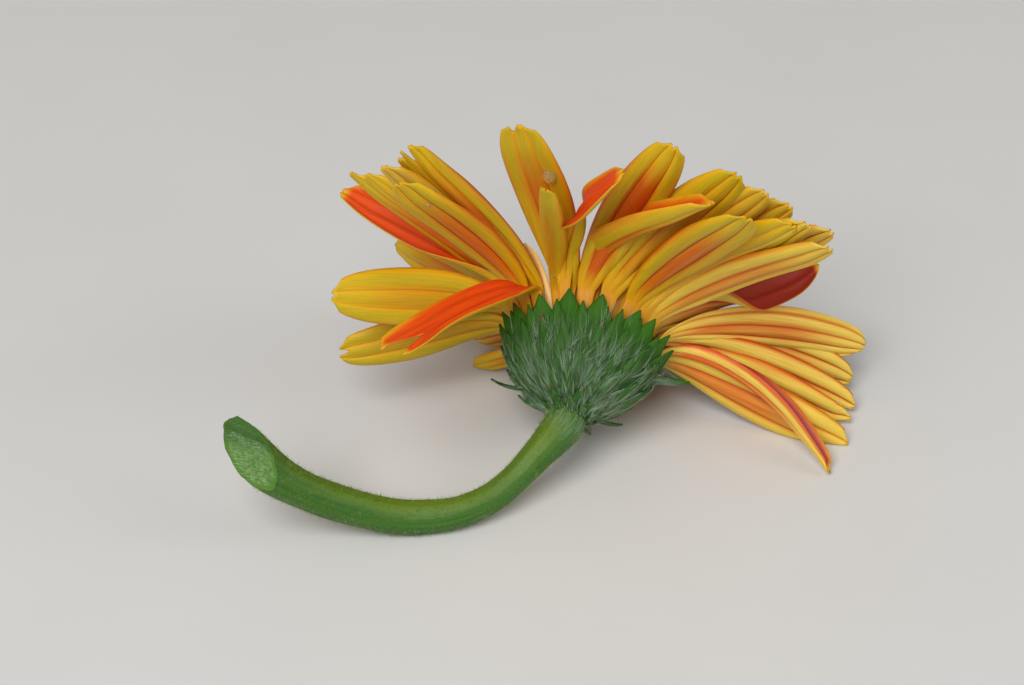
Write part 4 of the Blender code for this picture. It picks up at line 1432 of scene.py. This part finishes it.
class DAISY_OT_stage(Operator):
    """Make the floor, the lights and the camera"""
    bl_idname = "daisy.stage"
    bl_label = "Stage"

    def execute(self, context):
        look = context.scene.daisy_stage
        make_floor(look)
        make_light("key_light", *KEY_LIGHT, look.key_power)
        make_light("fill_light", *FILL_LIGHT, look.fill_power)
        make_sky(look)
        make_camera()
        return {"FINISHED"}


def linked(name, data):
    """A new object of the scene that holds this mesh, light or camera."""
    made = bpy.data.objects.new(name, data)
    bpy.context.scene.collection.objects.link(made)
    return made


def make_floor(look):
    """A wide pale floor at the surface that the flower lies on."""
    bm = bmesh.new()
    bmesh.ops.create_grid(bm, x_segments=8, y_segments=8, size=0.5 * FLOOR_SIZE)
    mesh = bpy.data.meshes.new("floor")
    bm.to_mesh(mesh)
    bm.free()
    mesh.materials.append(floor_paint(look))
    linked("floor", mesh)


def make_light(name, place, size, power):
    """A round lamp that faces the middle of the floor."""
    light = bpy.data.lights.new(name, "AREA")
    light.shape = "DISK"
    light.size = size
    light.energy = power
    lamp = linked(name, light)
    lamp.location = place
    lamp.rotation_euler = (-Vector(place)).to_track_quat("-Z", "Y").to_euler()


def make_sky(look):
    """Even light from all round, and colours shown as they are."""
    world = bpy.data.worlds.new("studio")
    world.use_nodes = True
    backdrop = world.node_tree.nodes["Background"]
    backdrop.inputs["Color"].default_value = SKY_COLOUR
    backdrop.inputs["Strength"].default_value = look.sky
    bpy.context.scene.world = world
    bpy.context.scene.view_settings.view_transform = "Standard"


def make_camera():
    """The photo's camera, placed so that the head's centre falls on its pixel."""
    right = np.array((1.0, 0.0, 0.0))
    up = np.array((0.0, math.sin(CAMERA_FALL), math.cos(CAMERA_FALL)))
    toward = np.array((0.0, -math.cos(CAMERA_FALL), math.sin(CAMERA_FALL)))
    beside = (PHOTO_MIDDLE[0] - HEAD_PIXEL[0]) * MM_PER_PIXEL
    below = (HEAD_PIXEL[1] - PHOTO_MIDDLE[1]) * MM_PER_PIXEL
    aim = HEAD_CENTRE + right * beside + up * below
    lens = bpy.data.cameras.new("camera")
    lens.lens = CAMERA_LENS
    lens.sensor_width = SENSOR_WIDTH
    camera = linked("camera", lens)
    camera.location = Vector((aim + toward * CAMERA_DISTANCE) * MM)
    camera.rotation_euler = Vector(-toward).to_track_quat("-Z", "Y").to_euler()
    bpy.context.scene.camera = camera


class DAISY_PT_panel(Panel):
    """Sizes and colours of the daisy, and the steps that make it"""
    bl_idname = "DAISY_PT_panel"
    bl_label = "Cut daisy"
    bl_space_type = "VIEW_3D"
    bl_region_type = "UI"
    bl_category = "Daisy"

    def draw(self, context):
        for group, steps in STEPS.items():
            box = self.layout.box()
            settings = getattr(context.scene, group)
            for name in settings.__annotations__:
                box.prop(settings, name)
            for step in steps:
                box.operator(step.bl_idname)


SETTINGS = {
    "daisy_stage": StageSettings,
    "daisy_petals": PetalSettings,
    "daisy_involucre": InvolucreSettings,
    "daisy_stem": StemSettings,
    "daisy_florets": FloretSettings,
}
STEPS = {
    "daisy_stage": [DAISY_OT_stage],
    "daisy_petals": [DAISY_OT_petals, DAISY_OT_drops],
    "daisy_involucre": [DAISY_OT_involucre],
    "daisy_stem": [DAISY_OT_stem],
    "daisy_florets": [DAISY_OT_florets],
}
OPERATORS = [step for steps in STEPS.values() for step in steps]
CLASSES = [*SETTINGS.values(), *OPERATORS, DAISY_PT_panel]


def register():
    for kind in CLASSES:
        bpy.utils.register_class(kind)
    for name, kind in SETTINGS.items():
        setattr(bpy.types.Scene, name, PointerProperty(type=kind))


def unregister():
    for name in SETTINGS:
        delattr(bpy.types.Scene, name)
    for kind in reversed(CLASSES):
        bpy.utils.unregister_class(kind)


def main():
    register()
    bpy.ops.daisy.stage()
    bpy.ops.daisy.petals()
    bpy.ops.daisy.drops()
    bpy.ops.daisy.involucre()
    bpy.ops.daisy.stem()
    bpy.ops.daisy.florets()


if __name__ == "__main__":
    main()
